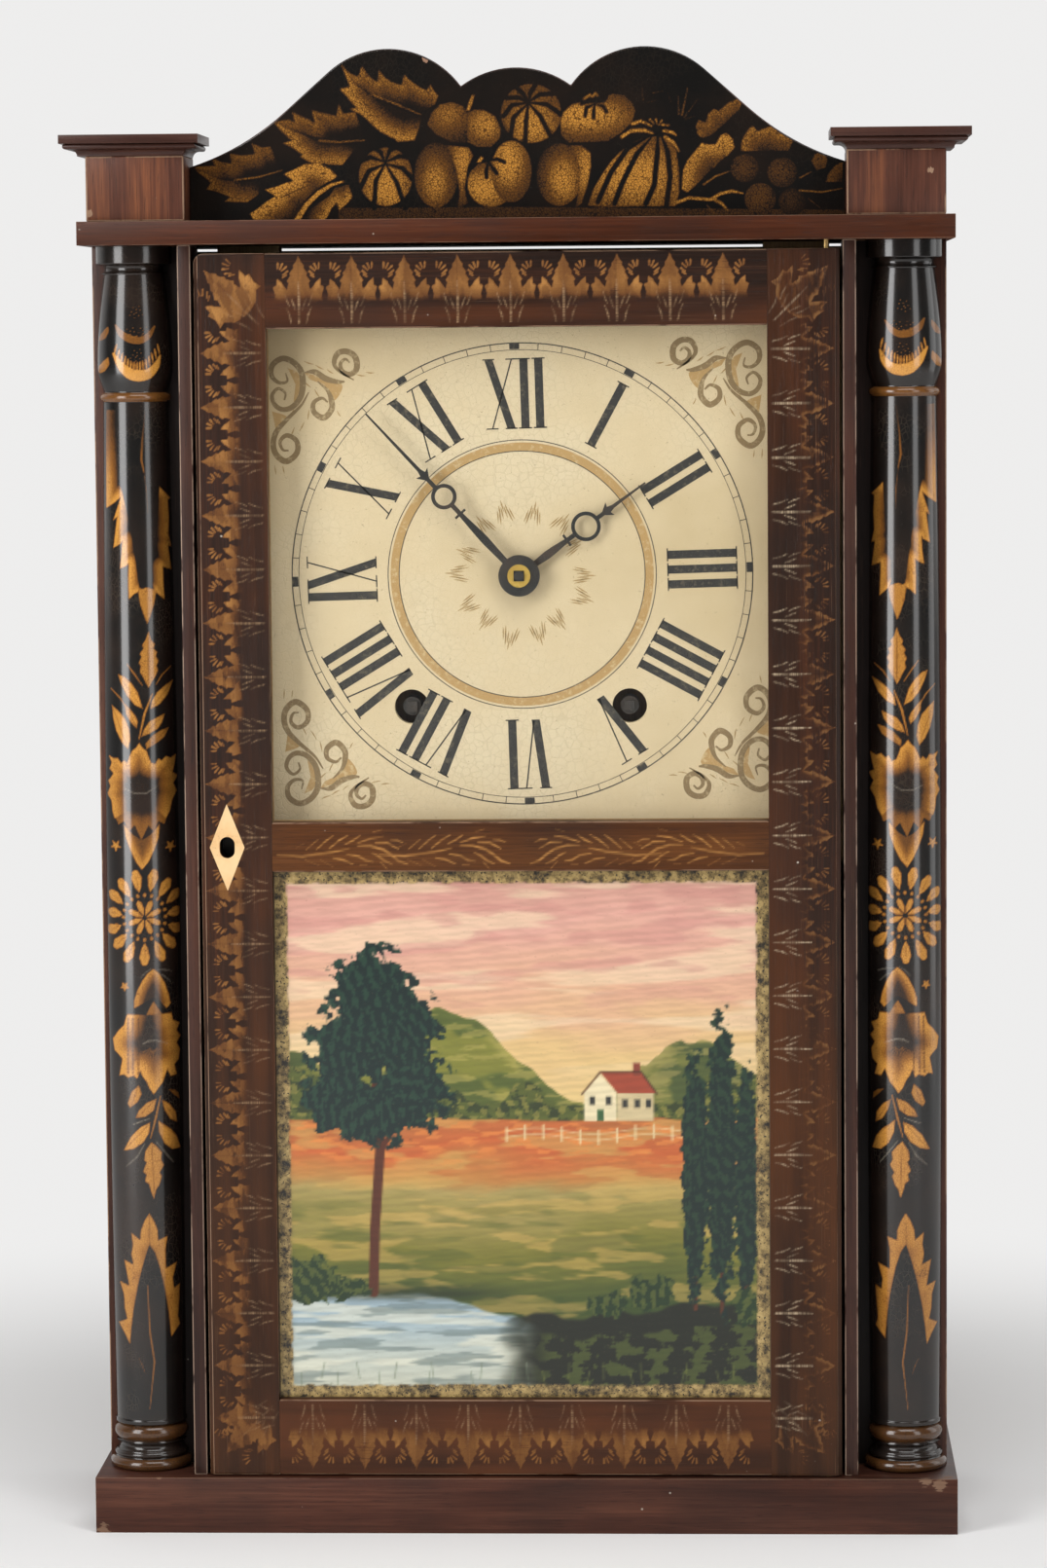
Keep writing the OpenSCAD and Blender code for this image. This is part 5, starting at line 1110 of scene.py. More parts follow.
# Splat's front: at every x, z goes in even shares from the foot to the height of the outline
def makeSplat(s):
    eased("splat", 0.8, blackPaint, blackWorn, "case", "black_paint")
    cols = int(2 * s["half"] / s["step"])
    x = np.linspace(-s["half"] + s["inset"], s["half"] - s["inset"], cols)
    t = np.linspace(0, 1, s["rows"])[:, None]
    top = splatHeight(x) - s["rim"]
    z = s["z"] + s["foot"] + t * (top - s["foot"])
    points = np.stack([x + 0 * t, np.full(z.shape, s["y"] - s["proud"]), z], -1)
    paint = newPaint(points[..., 0], points[..., 2])
    drawSplat(paint)
    ob = gridPiece("splatPaint", points, splatFinish, fieldsOf(paint))
    putPiece(ob, "case", "black_paint")


def blackMaterial(name, s):
    material, make = newMaterial(name)
    colour, rough, height = blackSockets(make, s)[:3]
    finish(make, colour, rough, height, 0.00012, s.get("coat", 0.4), 0.2, 1.3)
    return material


blackPaint = blackMaterial("blackPaint", {})
blackWorn = blackMaterial("blackPaintWorn", {"brown": (0.075, 0.028, 0.018), "dust": 0.5})
splatFinish = gildedMaterial("splatGilding", {
    "goldDark": (0.030, 0.014, 0.007), "goldMid": (0.105, 0.042, 0.009), "goldLight": (0.40, 0.18, 0.030),
    "pale": (0.5, 0.36, 0.2),
    "rough": 0.4, "coat": 0.0, "coatRough": 0.25, "loss": 0.56, "lossLevel": 0.5,
    "crackle": (780, 780, 780), "crackLevel": 0.6, "shimmer": 1.0,
    "weave": (1300, 1300, 700), "net": 0.06, "dust": 0.07, "ior": 1.15, "brown": (0.011, 0.007, 0.005),
    "spots": ((-43, -37, 718.5, 2.6),)}, blackSockets)
makeSplat(splatSettings)
print("stage: splat ready")

# Door border: one motif of leaf, dashes and strokes, repeated along the top and bottom rails and both stiles

doorSettings = {
    "y": -60.12, "step": 0.62, "fade": (10, 23),  # fade: mm from the opening where leaves begin and are whole
    "edge": 120.6, "outer": 153.0, "bottom": 29.2, "top": 624.7,  # edge is where stiles and rails meet
    "dialTop": 589.2, "tabletLow": 65.8, "railTop": (590.0, 624.8), "railMiddle": (327.1, 349.8),
    "railLow": 65.0,
    "stilePitch": 26.05, "stileStart": 577.8, "leaves": 21, "railPitch": 25.5, "railStart": -104.3,
    "railLeaves": 9,
    "cornerX": 122.0, "cornerZ": (64.5, 589.5),
    "keyhole": (-142.5, 338.4, 4.6, 6.6),  # x, z and half its sizes
}
motif = {
    "leaf": [(0, 33.1), (1.2, 30.2), (2.6, 28.6), (2.4, 27.4), (4.2, 25.2), (3.8, 24.2), (5.6, 21.6),
        (4.8, 20.6), (5.6, 17.6), (7.6, 19.8), (8.2, 20.9), (10.5, 22.7), (10.6, 19.5), (12.3, 19.0),
        (11.3, 15.5), (12.2, 12.2), (9.5, 12.6), (6.5, 9.6), (3.5, 8.6), (0, 8.2)],
    "dashes": [[(5.3, 26.0), (7.4, 24.4)], [(5.9, 28.0), (8.0, 26.2)], [(7.7, 29.4), (8.8, 27.0)],
        [(9.9, 29.6), (9.9, 27.3)], [(6.0, 24.3), (7.6, 23.2)]],
    "strokes": [([(0, 21), (0.1, 12), (0, 2.5)], [0.12, 0.42, 0.3]),
        ([(3.6, 13.6), (2.6, 11.2), (1.6, 8.3)], [0.1, 0.35, 0.15]),
        ([(6.0, 9.6), (4.6, 6.6), (3.7, 2.7)], [0.1, 0.32, 0.2]),
        ([(6.6, 16.0), (5.6, 12.5), (4.4, 10.2)], [0.08, 0.25, 0.1])],
}


# Draws the border from start along a direction, with out pointing to the door's outer edge
# Its gold runs from one level to another, and a hollow leaf is bright along its rim only
def drawBorder(paint, start, along, out, pitch, count, scale, gold=(1, 1), pale=0.8, hollow=False):
    along, out = np.array(along, float), np.array(out, float)
    for i in range(count):
        spot = np.array(start, float) + along * pitch * i
        sway = 0.6 * math.sin(i * 2.3)
        level = gold[0] + (gold[1] - gold[0]) * i / max(count - 1, 1)
        for flip in (1, -1):
            leaf = [(u * flip, v + (0.25 * sway * flip if v > 20 else 0)) for u, v in motif["leaf"]]
            leaf = placed(leaf, spot, along, out, scale)
            power = level * (0.9 + 0.25 * sway * flip)
            if hollow:
                lay(paint, leaf, power, rim=(leaf, 2.2, 0.3))
            else:
                lay(paint, leaf, power, glow=(leaf[13], (9, 9), 0.45))
            for dash in motif["dashes"]:
                lay(paint, placed([(u * flip, v) for u, v in dash], spot, along, out, scale), level * 0.8,
                    [0.42, 0.28])
            for points, halves in motif["strokes"]:
                lay(paint, placed([(u * flip, v) for u, v in points], spot, along, out, scale), pale,
                    halves, "pale")


# Front of a rail or stile: a flat grid just proud of it, with the border's drawing, which fades towards
# the opening and is worn by noise
def borderSkin(name, x0, x1, z0, z1, material, borders, away, draw=None, worn=0.3, hollow=False, keep=None):
    x = np.linspace(x0, x1, int((x1 - x0) / doorSettings["step"]))
    z = np.linspace(z0, z1, int((z1 - z0) / doorSettings["step"]))[:, None]
    points = np.stack([x + 0 * z, np.full((len(z), len(x)), doorSettings["y"]), z + 0 * x], -1)
    paint = newPaint(points[..., 0], points[..., 2])
    for b in borders:
        drawBorder(paint, *b, hollow)
    paint["gold"] *= smoothBetween(*doorSettings["fade"], away(paint["x"], paint["z"]))
    paint["gold"] *= 1 - worn * smoothBetween(0.35, 0.7, sineNoise(paint["x"] * 2, paint["z"], 17, 7))
    paint["pale"] *= 1 - 0.6 * smoothBetween(0.4, 0.75, sineNoise(paint["x"], paint["z"], 9, 8))
    if draw:
        draw(paint)
    ob = gridPiece(name, points, material, fieldsOf(paint), keep=keep)
    putPiece(ob, "door", "dark_wood")


# Fronds on the middle rail, two a side, that point to the middle: mirrored strokes from an enlarged view
fronds = {
    "starts": (-118.0, -68.2), "middle": 338.2, "scale": 0.0614,
    "strokes": [([(0, 280), (200, 290), (430, 260), (570, 230)], 0.5), ([(150, 220), (210, 190)], 0.3),
        ([(230, 235), (320, 160)], 0.35), ([(310, 235), (390, 165), (440, 130)], 0.4),
        ([(410, 230), (490, 165), (560, 125)], 0.45), ([(540, 195), (600, 165), (660, 125)], 0.45),
        ([(640, 185), (740, 150), (840, 135)], 0.45), ([(780, 185), (870, 185), (960, 235)], 0.5),
        ([(900, 165), (950, 165), (995, 185)], 0.35), ([(760, 100), (830, 80)], 0.3),
        ([(640, 210), (740, 210), (840, 240), (900, 280), (960, 330), (1030, 355)], 0.55),
        ([(440, 305), (520, 320), (600, 355)], 0.45), ([(550, 275), (640, 290), (700, 325), (760, 335)],
        0.45), ([(750, 265), (800, 290), (850, 330), (910, 355)], 0.45), ([(820, 340), (865, 390)], 0.35),
        ([(220, 320), (330, 365)], 0.25), ([(340, 320), (440, 375)], 0.3), ([(655, 360), (710, 360)], 0.3)],
}


def drawFronds(paint):
    for flip in (1, -1):
        for start in fronds["starts"]:
            for points, half in fronds["strokes"]:
                line = [(flip * (start + x * fronds["scale"]),
                    fronds["middle"] + (223 - z) * fronds["scale"]) for x, z in points]
                lay(paint, line, 0.9 if half > 0.3 else 0.5, [half * 0.5] + [half] * (len(line) - 2)
                    + [half * 0.4], "pale")


doorGold = {"goldDark": (0.085, 0.030, 0.009), "goldMid": (0.19, 0.082, 0.022),
    "goldLight": (0.38, 0.18, 0.05), "pale": (0.38, 0.24, 0.13), "loss": 0.56, "lossLevel": 0.5,
    "crackle": (700, 700, 700), "crackLevel": 0.12, "coat": 0.0, "coatRough": 0.25, "ior": 1.27,
    "weave": (1800, 1800, 40)}
stileGold = gildedMaterial("stileGilding", dict(stileWood, **doorGold), woodSockets)
dullGold = gildedMaterial("stileGildingDull", dict(stileWood,
    **dict(doorGold, loss=0.5, lossLevel=0.8, pale=(0.50, 0.38, 0.25), goldLight=(0.36, 0.22, 0.08),
    goldMid=(0.17, 0.085, 0.03))), woodSockets)
railGold = gildedMaterial("railGilding", dict(railWood, **dict(doorGold, weave=(40, 1800, 1800))),
    woodSockets)
middleGold = gildedMaterial("middleGilding", dict(middleWood,
    **dict(doorGold, pale=(0.47, 0.22, 0.06), weave=(60, 1500, 1500))), woodSockets)


# Borders of both stiles and three rails; a leaf set at 45 degrees fills each corner
def makeBorders(s):
    turn = math.sqrt(0.5)
    edge, top, low = s["edge"], s["dialTop"], s["tabletLow"]
    keyX, keyZ, keyWide, keyHigh = s["keyhole"]
    cornerLow, cornerTop = s["cornerZ"]

    def stileAway(x, z):
        return np.maximum(np.abs(x) - edge, 0) + np.maximum(z - top, 0) + np.maximum(low - z, 0)

    def offKeyhole(p):
        return np.hypot((p[:, 0] - keyX) / keyWide, (p[:, 2] - keyZ) / keyHigh) > 1

    for side, name, gold, pale, material in (
            (-1, "left", (0.9, 0.5), 0.6, stileGold), (1, "right", (0.42, 0.3), 0.9, dullGold)):
        x0, x1 = sorted((side * (edge + 0.1), side * s["outer"]))
        leaves = ((side * edge, s["stileStart"]), (0, -1), (side, 0), s["stilePitch"], s["leaves"],
            (1.0, 0.975), gold, pale)
        topLeaf = ((side * s["cornerX"], cornerTop), (turn, turn * side * -1), (side * turn, turn), 1, 1,
                   (1.15, 1.2), gold, 0.4)
        lowLeaf = ((side * s["cornerX"], cornerLow), (turn, turn * side), (side * turn, -turn), 1, 1,
            (1.1, 1.1), (gold[1], gold[1]), 0.2)
        borderSkin("stilePaint_" + name, x0, x1, s["bottom"], s["top"], material, [leaves, topLeaf, lowLeaf],
                   stileAway, worn=0.5, hollow=side > 0, keep=offKeyhole)
    pitch, count = s["railPitch"], s["railLeaves"]
    leaves = ((s["railStart"], top), (1, 0), (0, 1), pitch, count, (1.0, 1.06), (0.85, 0.8), 0.8)
    borderSkin("railPaint_top", -edge, edge, *s["railTop"], railGold, [leaves], lambda x, z: z - top)
    leaves = ((s["railStart"], low), (1, 0), (0, -1), pitch, count, (1.0, 1.06), (0.6, 0.6), 0.55)
    borderSkin("railPaint_bottom", -edge, edge, s["bottom"], s["railLow"], railGold, [leaves],
        lambda x, z: low - z)
    borderSkin("railPaint_middle", -edge, edge, *s["railMiddle"], middleGold, [], lambda x, z: 20 + 0 * z,
               draw=drawFronds)


makeBorders(doorSettings)
print("stage: door ready")

# Tablet: a made-up landscape in oils behind glass, painted layer over layer as numpy arrays

tablet = {
    "x": 120.3, "z": (65.9, 326.2), "y": -54.12, "step": 0.85, "frame": 6.2,
    "sky": [(204, (226, 197, 132)), (236, (222, 186, 128)), (268, (222, 172, 140)), (300, (220, 165, 148)),
        (326, (204, 150, 134))],
    "land": [(66, (46, 60, 34)), (110, (60, 76, 36)), (140, (118, 114, 46)), (165, (168, 148, 88)),
        (178, (188, 126, 66)), (190, (196, 98, 52)), (204, (178, 104, 56))],
    "hills": [(-40, 56, 50, (124, 124, 52), (72, 86, 40), (168, 156, 82)),
        (84, 40, 42, (112, 114, 56), (66, 80, 44), (158, 146, 84)),
        (-112, 34, 30, (104, 106, 48), (62, 76, 40), (146, 138, 76))],
}


# Flat grid behind the glass: the picture is mixed layer over layer, each by its share from 0 to 1
def makeTablet(s):
    cols, rows = int(2 * s["x"] / s["step"]), int((s["z"][1] - s["z"][0]) / s["step"])
    x = np.linspace(-s["x"], s["x"], cols) + np.zeros((rows, 1))
    z = np.linspace(*s["z"], rows)[:, None] + np.zeros((1, cols))
    image = np.zeros(x.shape + (3,))

    def shades(table, value):
        at = [k for k, _ in table]
        return np.stack([np.interp(value, at, [c[i] for _, c in table]) for i in range(3)], -1)

    def over(share, colour):
        image[:] = image * (1 - share[..., None]) + np.asarray(colour, float) * share[..., None]

    def patch(outline, colour):
        outline = np.array(outline, float)
        low, high = outline.min(0) - 2, outline.max(0) + 2
        i = (x > low[0]) & (x < high[0]) & (z > low[1]) & (z < high[1])
        share = np.zeros(x.shape)
        share[i] = np.clip(outlineDistance(x[i], z[i], outline) / 0.8 + 0.5, 0, 1)
        over(share, colour)

    def line(points, half, colour, level=1.0):
        share = np.clip(strokeDistance(x, z, np.array(points, float), [half] * len(points)) / 0.8 + 0.5, 0, 1)
        over(share * level, colour)

    def leaves(cx, cz, rx, rz, dark, light, seed, torn=0.5):
        ragged = torn * (sineNoise(x, z, 12, seed, 3) - 0.5)
        d = np.hypot((x - cx) / rx, (z - cz) / rz) + ragged + 0.15 * (sineNoise(x, z, 4, seed + 1, 2) - 0.5)
        body = smoothBetween(1.05, 0.93, d)
        over(body, dark)
        lit = (z - cz) / rz * 0.35 - (x - cx) / rx * 0.3
        dab = smoothBetween(0.52, 0.75, sineNoise(x * 1.4, z, 7, seed + 2, 3) + 0.3 * lit)
        over(body * dab * 0.6, light)

    streak = sineNoise(x * 0.3, z * 1.6, 34, 3)
    over(np.ones(x.shape), shades(s["sky"], z + 10 * (streak - 0.5)))
    over(smoothBetween(0.55, 0.85, sineNoise(x * 0.25, z * 1.8, 40, 5)) * smoothBetween(215, 250, z) * 0.55,
        (238, 214, 176))
    over(smoothBetween(0.62, 0.9, sineNoise(x * 0.3, z * 2, 26, 8)) * smoothBetween(235, 290, z) * 0.45,
        (200, 138, 128))
    for k, (at, tall, wide, mid, dark, light) in enumerate(s["hills"]):
        crest = 202 + tall * np.exp(-((x - at) / wide) ** 2) + 3 * (sineNoise(x, 0 * z, 20, 20 + k, 3) - 0.5)
        share = smoothBetween(-0.6, 0.6, crest - z)
        depth = np.clip((crest - z) / tall, 0, 1)
        over(share, mid)
        over(share * smoothBetween(0.16, 0.0, depth) * 0.8, light)
        over(share * smoothBetween(0.42, 0.7, sineNoise(x * 0.6, z, 44, 30 + k) + 0.35 * depth) * 0.8, dark)
        over(share * smoothBetween(0.72, 0.9, sineNoise(x * 0.5, z * 2, 18, 40 + k)) * 0.6, light)
    row = 214 + 14 * (sineNoise(x, 0 * z, 46, 11, 4) - 0.35) + 8 * smoothBetween(70, 118, np.abs(x))
    over(smoothBetween(-0.8, 0.8, row - z), (84, 92, 42))
    over(smoothBetween(-0.8, 0.8, row - z) * smoothBetween(0.45, 0.7, sineNoise(x, z, 9, 12)), (52, 62, 34))
    over(smoothBetween(-0.8, 0.8, row - z) * smoothBetween(0.7, 0.85, sineNoise(x, z, 7, 13)) * 0.7,
        (140, 132, 64))
    ground = 204 + 2 * (sineNoise(x, 0 * z, 60, 14, 2) - 0.5)
    land = smoothBetween(-0.6, 0.6, ground - z)
    over(land, shades(s["land"], z + 12 * (sineNoise(x * 0.35, z, 44, 15) - 0.5)))
    over(land * smoothBetween(0.56, 0.8, sineNoise(x * 0.3, z * 1.6, 26, 16)) * 0.5, (206, 168, 92))
    over(land * smoothBetween(0.6, 0.85, sineNoise(x * 0.25, z * 1.6, 26, 17)) * smoothBetween(176, 150,
        z) * 0.5, (84, 92, 40))
    over(land * smoothBetween(0.72, 0.88, sineNoise(x * 0.4, z * 2, 10, 18)) * smoothBetween(176, 190,
        z) * 0.7, (222, 132, 66))
    # Farmhouse behind a cream fence
    patch([(30, 203), (30, 217), (38, 226), (46, 217), (46, 203)], (232, 216, 174))
    patch([(46, 203), (46, 217), (64, 217), (64, 203)], (206, 186, 142))
    patch([(38, 227), (46.5, 216.5), (65.5, 216.5), (58, 227)], (158, 70, 48))
    patch([(54, 225), (54, 231.5), (57.5, 231.5), (57.5, 225)], (132, 62, 46))
    line([(29, 216.2), (38, 227), (58, 227), (65.5, 216.5)], 0.45, (66, 38, 26), 0.8)
    for cx, cz in ((34, 213), (42, 213), (50, 211.5), (56, 211.5), (61.5, 211.5)):
        patch([(cx - 1.3, cz - 2), (cx - 1.3, cz + 2), (cx + 1.3, cz + 2), (cx + 1.3, cz - 2)], (52, 52, 48))
    patch([(36.4, 203), (36.4, 208.5), (39.6, 208.5), (39.6, 203)], (58, 92, 56))
    for k in range(14):
        line([(-8 + 9 * k, 193 + 1.5 * math.sin(k)), (-8 + 9 * k, 199.5 + 1.5 * math.sin(k))], 0.5,
            (228, 208, 160), 0.85)
    for h in (195, 198):
        line([(-8 + 4.5 * k, h + 1.5 * math.sin(k / 2)) for k in range(27)], 0.3, (228, 208, 160), 0.7)
    # Pond, dark bank, trees and grass
    shore = 103 + 13 * smoothBetween(20, -60, x) + 5 * (sineNoise(x, 0 * z, 50, 19, 3) - 0.5)
    pond = smoothBetween(-1, 1, shore - z) * smoothBetween(24, 6,
        x + 8 * (sineNoise(0 * x, z, 20, 21, 3) - 0.5))
    over(pond, shades([(66, (204, 204, 182)), (88, (188, 196, 186)), (104, (160, 180, 188)),
        (120, (146, 166, 176))], z))
    over(pond * smoothBetween(0.5, 0.75, sineNoise(x * 0.2, z * 2.4, 26, 22)) * 0.6, (224, 222, 200))
    over(pond * smoothBetween(0.66, 0.85, sineNoise(x * 0.25, z * 2.2, 20, 23)) * 0.5, (96, 112, 110))
    bank = 106 + 5 * (sineNoise(x, 0 * z, 34, 24, 3) - 0.5) + 7 * smoothBetween(20, 110, x)
    over(smoothBetween(-1.5, 1, bank - z) * smoothBetween(-16, 8,
        x + 5 * (sineNoise(x, z, 16, 25, 2) - 0.5)), (30, 34, 24))
    over(smoothBetween(-1, 1, bank - 10 - z) * smoothBetween(0.5, 0.74,
        sineNoise(x * 0.8, z * 1.3, 13, 26)) * smoothBetween(0, 16, x) * 0.8, (78, 88, 42))
    over(smoothBetween(124, 116, z) * smoothBetween(112, 118, z) * smoothBetween(10, -40, x) * 0.7,
        (38, 46, 30))
    line([(-74, 118), (-73, 150), (-70, 190), (-72, 236)], 2.4, (84, 42, 24))
    line([(-71, 186), (-56, 212), (-50, 226)], 1.2, (84, 42, 24))
    line([(-72, 196), (-86, 218), (-92, 232)], 1.2, (84, 42, 24))
    for k, (cx, cz, rx, rz) in enumerate([(-90, 214, 18, 17), (-54, 218, 18, 19), (-72, 204, 17, 13),
            (-84, 240, 20, 20), (-60, 248, 19, 20), (-73, 268, 19, 20)]):
        leaves(cx, cz, rx, rz, (16, 38, 36), (44, 76, 56), 50 + 4 * k)
    for k, (cx, low, high, wide) in enumerate([(84, 116, 236, 6.5), (97, 114, 254, 7.5), (109, 116, 228, 6)]):
        line([(cx, low - 6), (cx, low + 20)], 1.1, (84, 46, 26))
        leaves(cx, (low + high) / 2, wide, (high - low) / 2, (16, 38, 34), (44, 70, 46), 90 + 4 * k, 0.3)
    for k, (cx, cz, rx, rz) in enumerate([(62, 118, 13, 8), (42, 112, 10, 6), (-106, 124, 14, 11),
            (-88, 120, 12, 6), (112, 110, 12, 9)]):
        leaves(cx, cz, rx, rz, (34, 54, 30), (104, 108, 50), 110 + 4 * k)
    for k in range(34):
        gx = -110 + 6.8 * k + 3 * math.sin(k * 1.7)
        low = 70 + 6 * math.sin(k * 2.1)
        line([(gx, low), (gx + 2 * math.sin(k), low + 8)], 0.35,
            (112, 118, 58) if gx > 8 else (120, 132, 110), 0.6)
    grain = 1 + 0.08 * (sineNoise(x * 0.3, z * 2, 7, 28, 3) - 0.5)
    image[:] = np.clip(image * 0.9 * grain[..., None], 0, 255)
    paint = (image / 255) ** 2.2
    inset = np.minimum(s["x"] - np.abs(x), np.minimum(z - s["z"][0], s["z"][1] - z))
    edge = smoothBetween(s["frame"] + 0.5, s["frame"] - 0.5, inset + 0.9 * (sineNoise(x, z, 9, 29, 3) - 0.5))
    points = np.stack([x, np.full(x.shape, s["y"]), z], -1)
    material, make = newMaterial("tabletPaint")
    spot = objectPlace(make)
    colour = make("ShaderNodeAttribute", attribute_name="paint").outputs["Color"]
    crazed = ranged(make, noise(make, stretched(make, spot, (500, 500, 900)), 1.0, 3.0, 0.6), 0.62, 0.72)
    colour = mixed(make, times(make, crazed, 0.22), colour, (0.10, 0.07, 0.04))
    gilt = ramped(make, noise(make, spot, 210, 5.0, 0.72), (0.36, (0.012, 0.009, 0.005)),
        (0.46, (0.15, 0.10, 0.035)), (0.58, (0.36, 0.25, 0.09)), (0.68, (0.46, 0.33, 0.13)))
    gilt = mixed(make, ranged(make, noise(make, spot, 700, 2.0), 0.58, 0.66), gilt, (0.02, 0.014, 0.008))
    colour = mixed(make, field(make, "edge"), colour, gilt)
    finish(make, colour, 0.35, coat=0.35, coatRough=0.05, ior=1.45)
    ob = gridPiece("tabletPicture", points, material, {"paint": paint, "edge": edge})
    putPiece(ob, "door", "painted_glass")


makeTablet(tablet)
print("stage: tablet ready")

# Dial: aged cream board, with the time ring, numerals and scrolls as thin flat pieces of paint


# Cream dial ground with clouds, crackle and specks, plus painted shade towards its edges and a painted shadow
# at its top left
def dialMaterial():
    material, make = newMaterial("dialCream")
    place = objectPlace(make)
    cloud = noise(make, place, 9, 4.0, 0.6)
    fine = noise(make, place, 500, 4.0, 0.6)
    colour = ramped(make, cloud, (0.3, (0.56, 0.435, 0.255)), (0.5, (0.65, 0.52, 0.33)),
        (0.7, (0.69, 0.58, 0.40)))
    # Painted shade: the cream darkens towards the dial's edges, where the recess behind the door frame shades
    # it
    far = make("ShaderNodeVectorMath", {0: place, 1: (0, -0.0395, 0.469)},
        operation="DISTANCE").outputs["Value"]
    edge = ranged(make, far, 0.10, 0.17)
    colour = mixed(make, times(make, edge, 0.3), colour, (0.52, 0.38, 0.20))
    # Painted shadow: a darker patch at the top-left corner, where the door's top rail and left stile shade the
    # dial
    corner = make("ShaderNodeVectorMath", {0: place, 1: (-0.15, -0.0395, 0.60)},
        operation="DISTANCE").outputs["Value"]
    colour = mixed(make, times(make, ranged(make, corner, 0.14, 0.02), 0.25), colour, (0.45, 0.31, 0.15))
    cells = make("ShaderNodeTexVoronoi", {"Vector": stretched(make, place, (260, 260, 260)), "Scale": 1.0},
                 feature="DISTANCE_TO_EDGE").outputs["Distance"]
    net = times(make, ranged(make, cells, 0.015, 0.06, 1.0, 0.0), ranged(make, cloud, 0.42, 0.6))
    colour = mixed(make, times(make, net, 0.16), colour, (0.30, 0.22, 0.12))
    dots = ranged(make, noise(make, place, 900, 1.0), 0.735, 0.76)
    colour = mixed(make, times(make, dots, 0.5), colour, (0.22, 0.15, 0.08))
    rough = plus(make, 0.42, times(make, fine, 0.15))
    finish(make, colour, rough, minus(make, fine, net), 0.00008)
    return material


# Old paint for lines and numerals: the colour thins where noise has rubbed it
def inkMaterial(name, colour, thin, level):
    material, make = newMaterial(name)
    place = objectPlace(make)
    rub = ranged(make, noise(make, place, 420, 4.0, 0.65), 0.5, 0.72)
    tint = mixed(make, times(make, rub, level), colour, thin)
    finish(make, tint, 0.45, noise(make, place, 900), 0.00005)
    return material


# Flat paint from closed outlines in the dial's own plane: across, up, in mm from its centre
def flatPaint(name, outlines, material, depth):
    turn = math.radians(dialSettings["tilt"])
    cx, cz = dialSettings["centre"]
    verts, faces = [], []
    for outline in outlines:
        start = len(verts)
        for x, z in outline:
            verts.append(((cx + x * math.cos(turn) - z * math.sin(turn)) * mm, depth * mm,
                          (cz + x * math.sin(turn) + z * math.cos(turn)) * mm))
        faces.append(list(range(start, len(verts))))
    mesh = bpy.data.meshes.new(name)
    mesh.from_pydata(verts, [], faces)
    work = bmesh.new()
    work.from_mesh(mesh)
    turned = [f for f in work.faces if f.normal.y > 0]
    bmesh.ops.reverse_faces(work, faces=turned)
    work.to_mesh(mesh)
    work.free()
    mesh.materials.append(material)
    return putPiece(bpy.data.objects.new(name, mesh), "case", "dial_paint")


# Strip along a line of points whose half width follows a list: one closed outline per piece of the line
def ribbon(points, halves):
    p = np.array(points, float)
    w = np.interp(np.linspace(0, 1, len(p)), np.linspace(0, 1, len(halves)), halves)[:, None]
    way = np.gradient(p, axis=0)
    way /= np.maximum(np.linalg.norm(way, axis=1, keepdims=True), 1e-9)
    side = np.stack([-way[:, 1], way[:, 0]], -1) * w
    a, b = p + side, p - side
    return [[a[i], a[i + 1], b[i + 1], b[i]] for i in range(len(p) - 1)]


# Ring round the centre, as short pieces with four corners
def circleLine(r, half):
    t = np.linspace(0, 2 * math.pi, 181)
    inner, outer = ([(q * math.sin(a), q * math.cos(a)) for a in t] for q in (r - half, r + half))
    return [[inner[i], outer[i], outer[i + 1], inner[i + 1]] for i in range(len(t) - 1)]


dialSettings = {
    "centre": (1.2, 469.4), "tilt": 1.5, "front": -39.5,  # tilt: degrees, as the paint lies a little turned
    "rings": ((112.2, 0.3), (108.9, 0.16), (65.3, 0.22), (59.9, 0.22)),  # radius and half width
    "band": (62.1, 2.0), "quarters": (109.2, 111.95, 2.45), "minutes": (109.0, 112.0, 0.2),
    "numerals": (71.0, 104.5), "widths": {"I": 7.2, "V": 14.6, "X": 15.6},
    "thick": 2.0, "hair": 0.34, "serif": 0.3,  # half widths of the numerals' strokes
    "sprigs": 14, "sprigRadius": 36,
}

# Corner scrolls, drawn in the scale of an enlarged view of the upper left one
corner = {
    # mm from the dial's centre, and mm a step
    "at": (111.5, 101.5), "start": (110, 150), "scale": (0.1142, 0.1141),
    "strokes": [[(110, 150), (115, 185), (80, 190), (50, 160), (55, 115), (100, 88), (150, 110), (180, 160),
        (175, 240), (140, 290), (95, 305), (60, 285), (48, 245), (75, 215), (105, 235), (100, 265)],
        [(205, 235), (170, 290), (110, 345), (60, 400), (45, 455), (60, 500), (100, 525), (145, 490),
        (145, 440), (105, 415), (75, 440), (85, 475), (110, 480)],
        [(400, 190), (345, 155), (318, 118), (335, 75), (375, 68), (410, 95), (412, 145), (380, 165),
        (350, 148), (345, 118), (366, 100), (385, 115)], [(190, 150), (235, 150), (280, 180), (330, 195),
        (360, 195)], [(245, 190), (285, 230), (300, 270), (300, 310), (265, 345), (225, 320), (225, 280),
        (260, 262), (285, 280)]],
    "fills": [[(190, 150), (280, 180), (350, 210), (310, 275), (270, 210), (210, 180)],
        [(120, 130), (160, 150), (175, 200), (140, 280), (150, 200)], [(45, 310), (110, 340), (60, 400)]],
    "dashes": [(210, 110, 20, 22), (255, 130, 30, 20), (300, 150, 35, 16), (130, 320, 120, 20),
        (200, 330, 100, 22), (170, 380, 120, 22), (130, 400, 115, 20), (240, 240, 60, 20),
        (430, 170, 10, 20), (470, 160, 5, 18), (50, 560, 85, 20), (85, 560, 80, 16), (330, 330, 60, 14),
        (200, 200, 45, 22)],
}


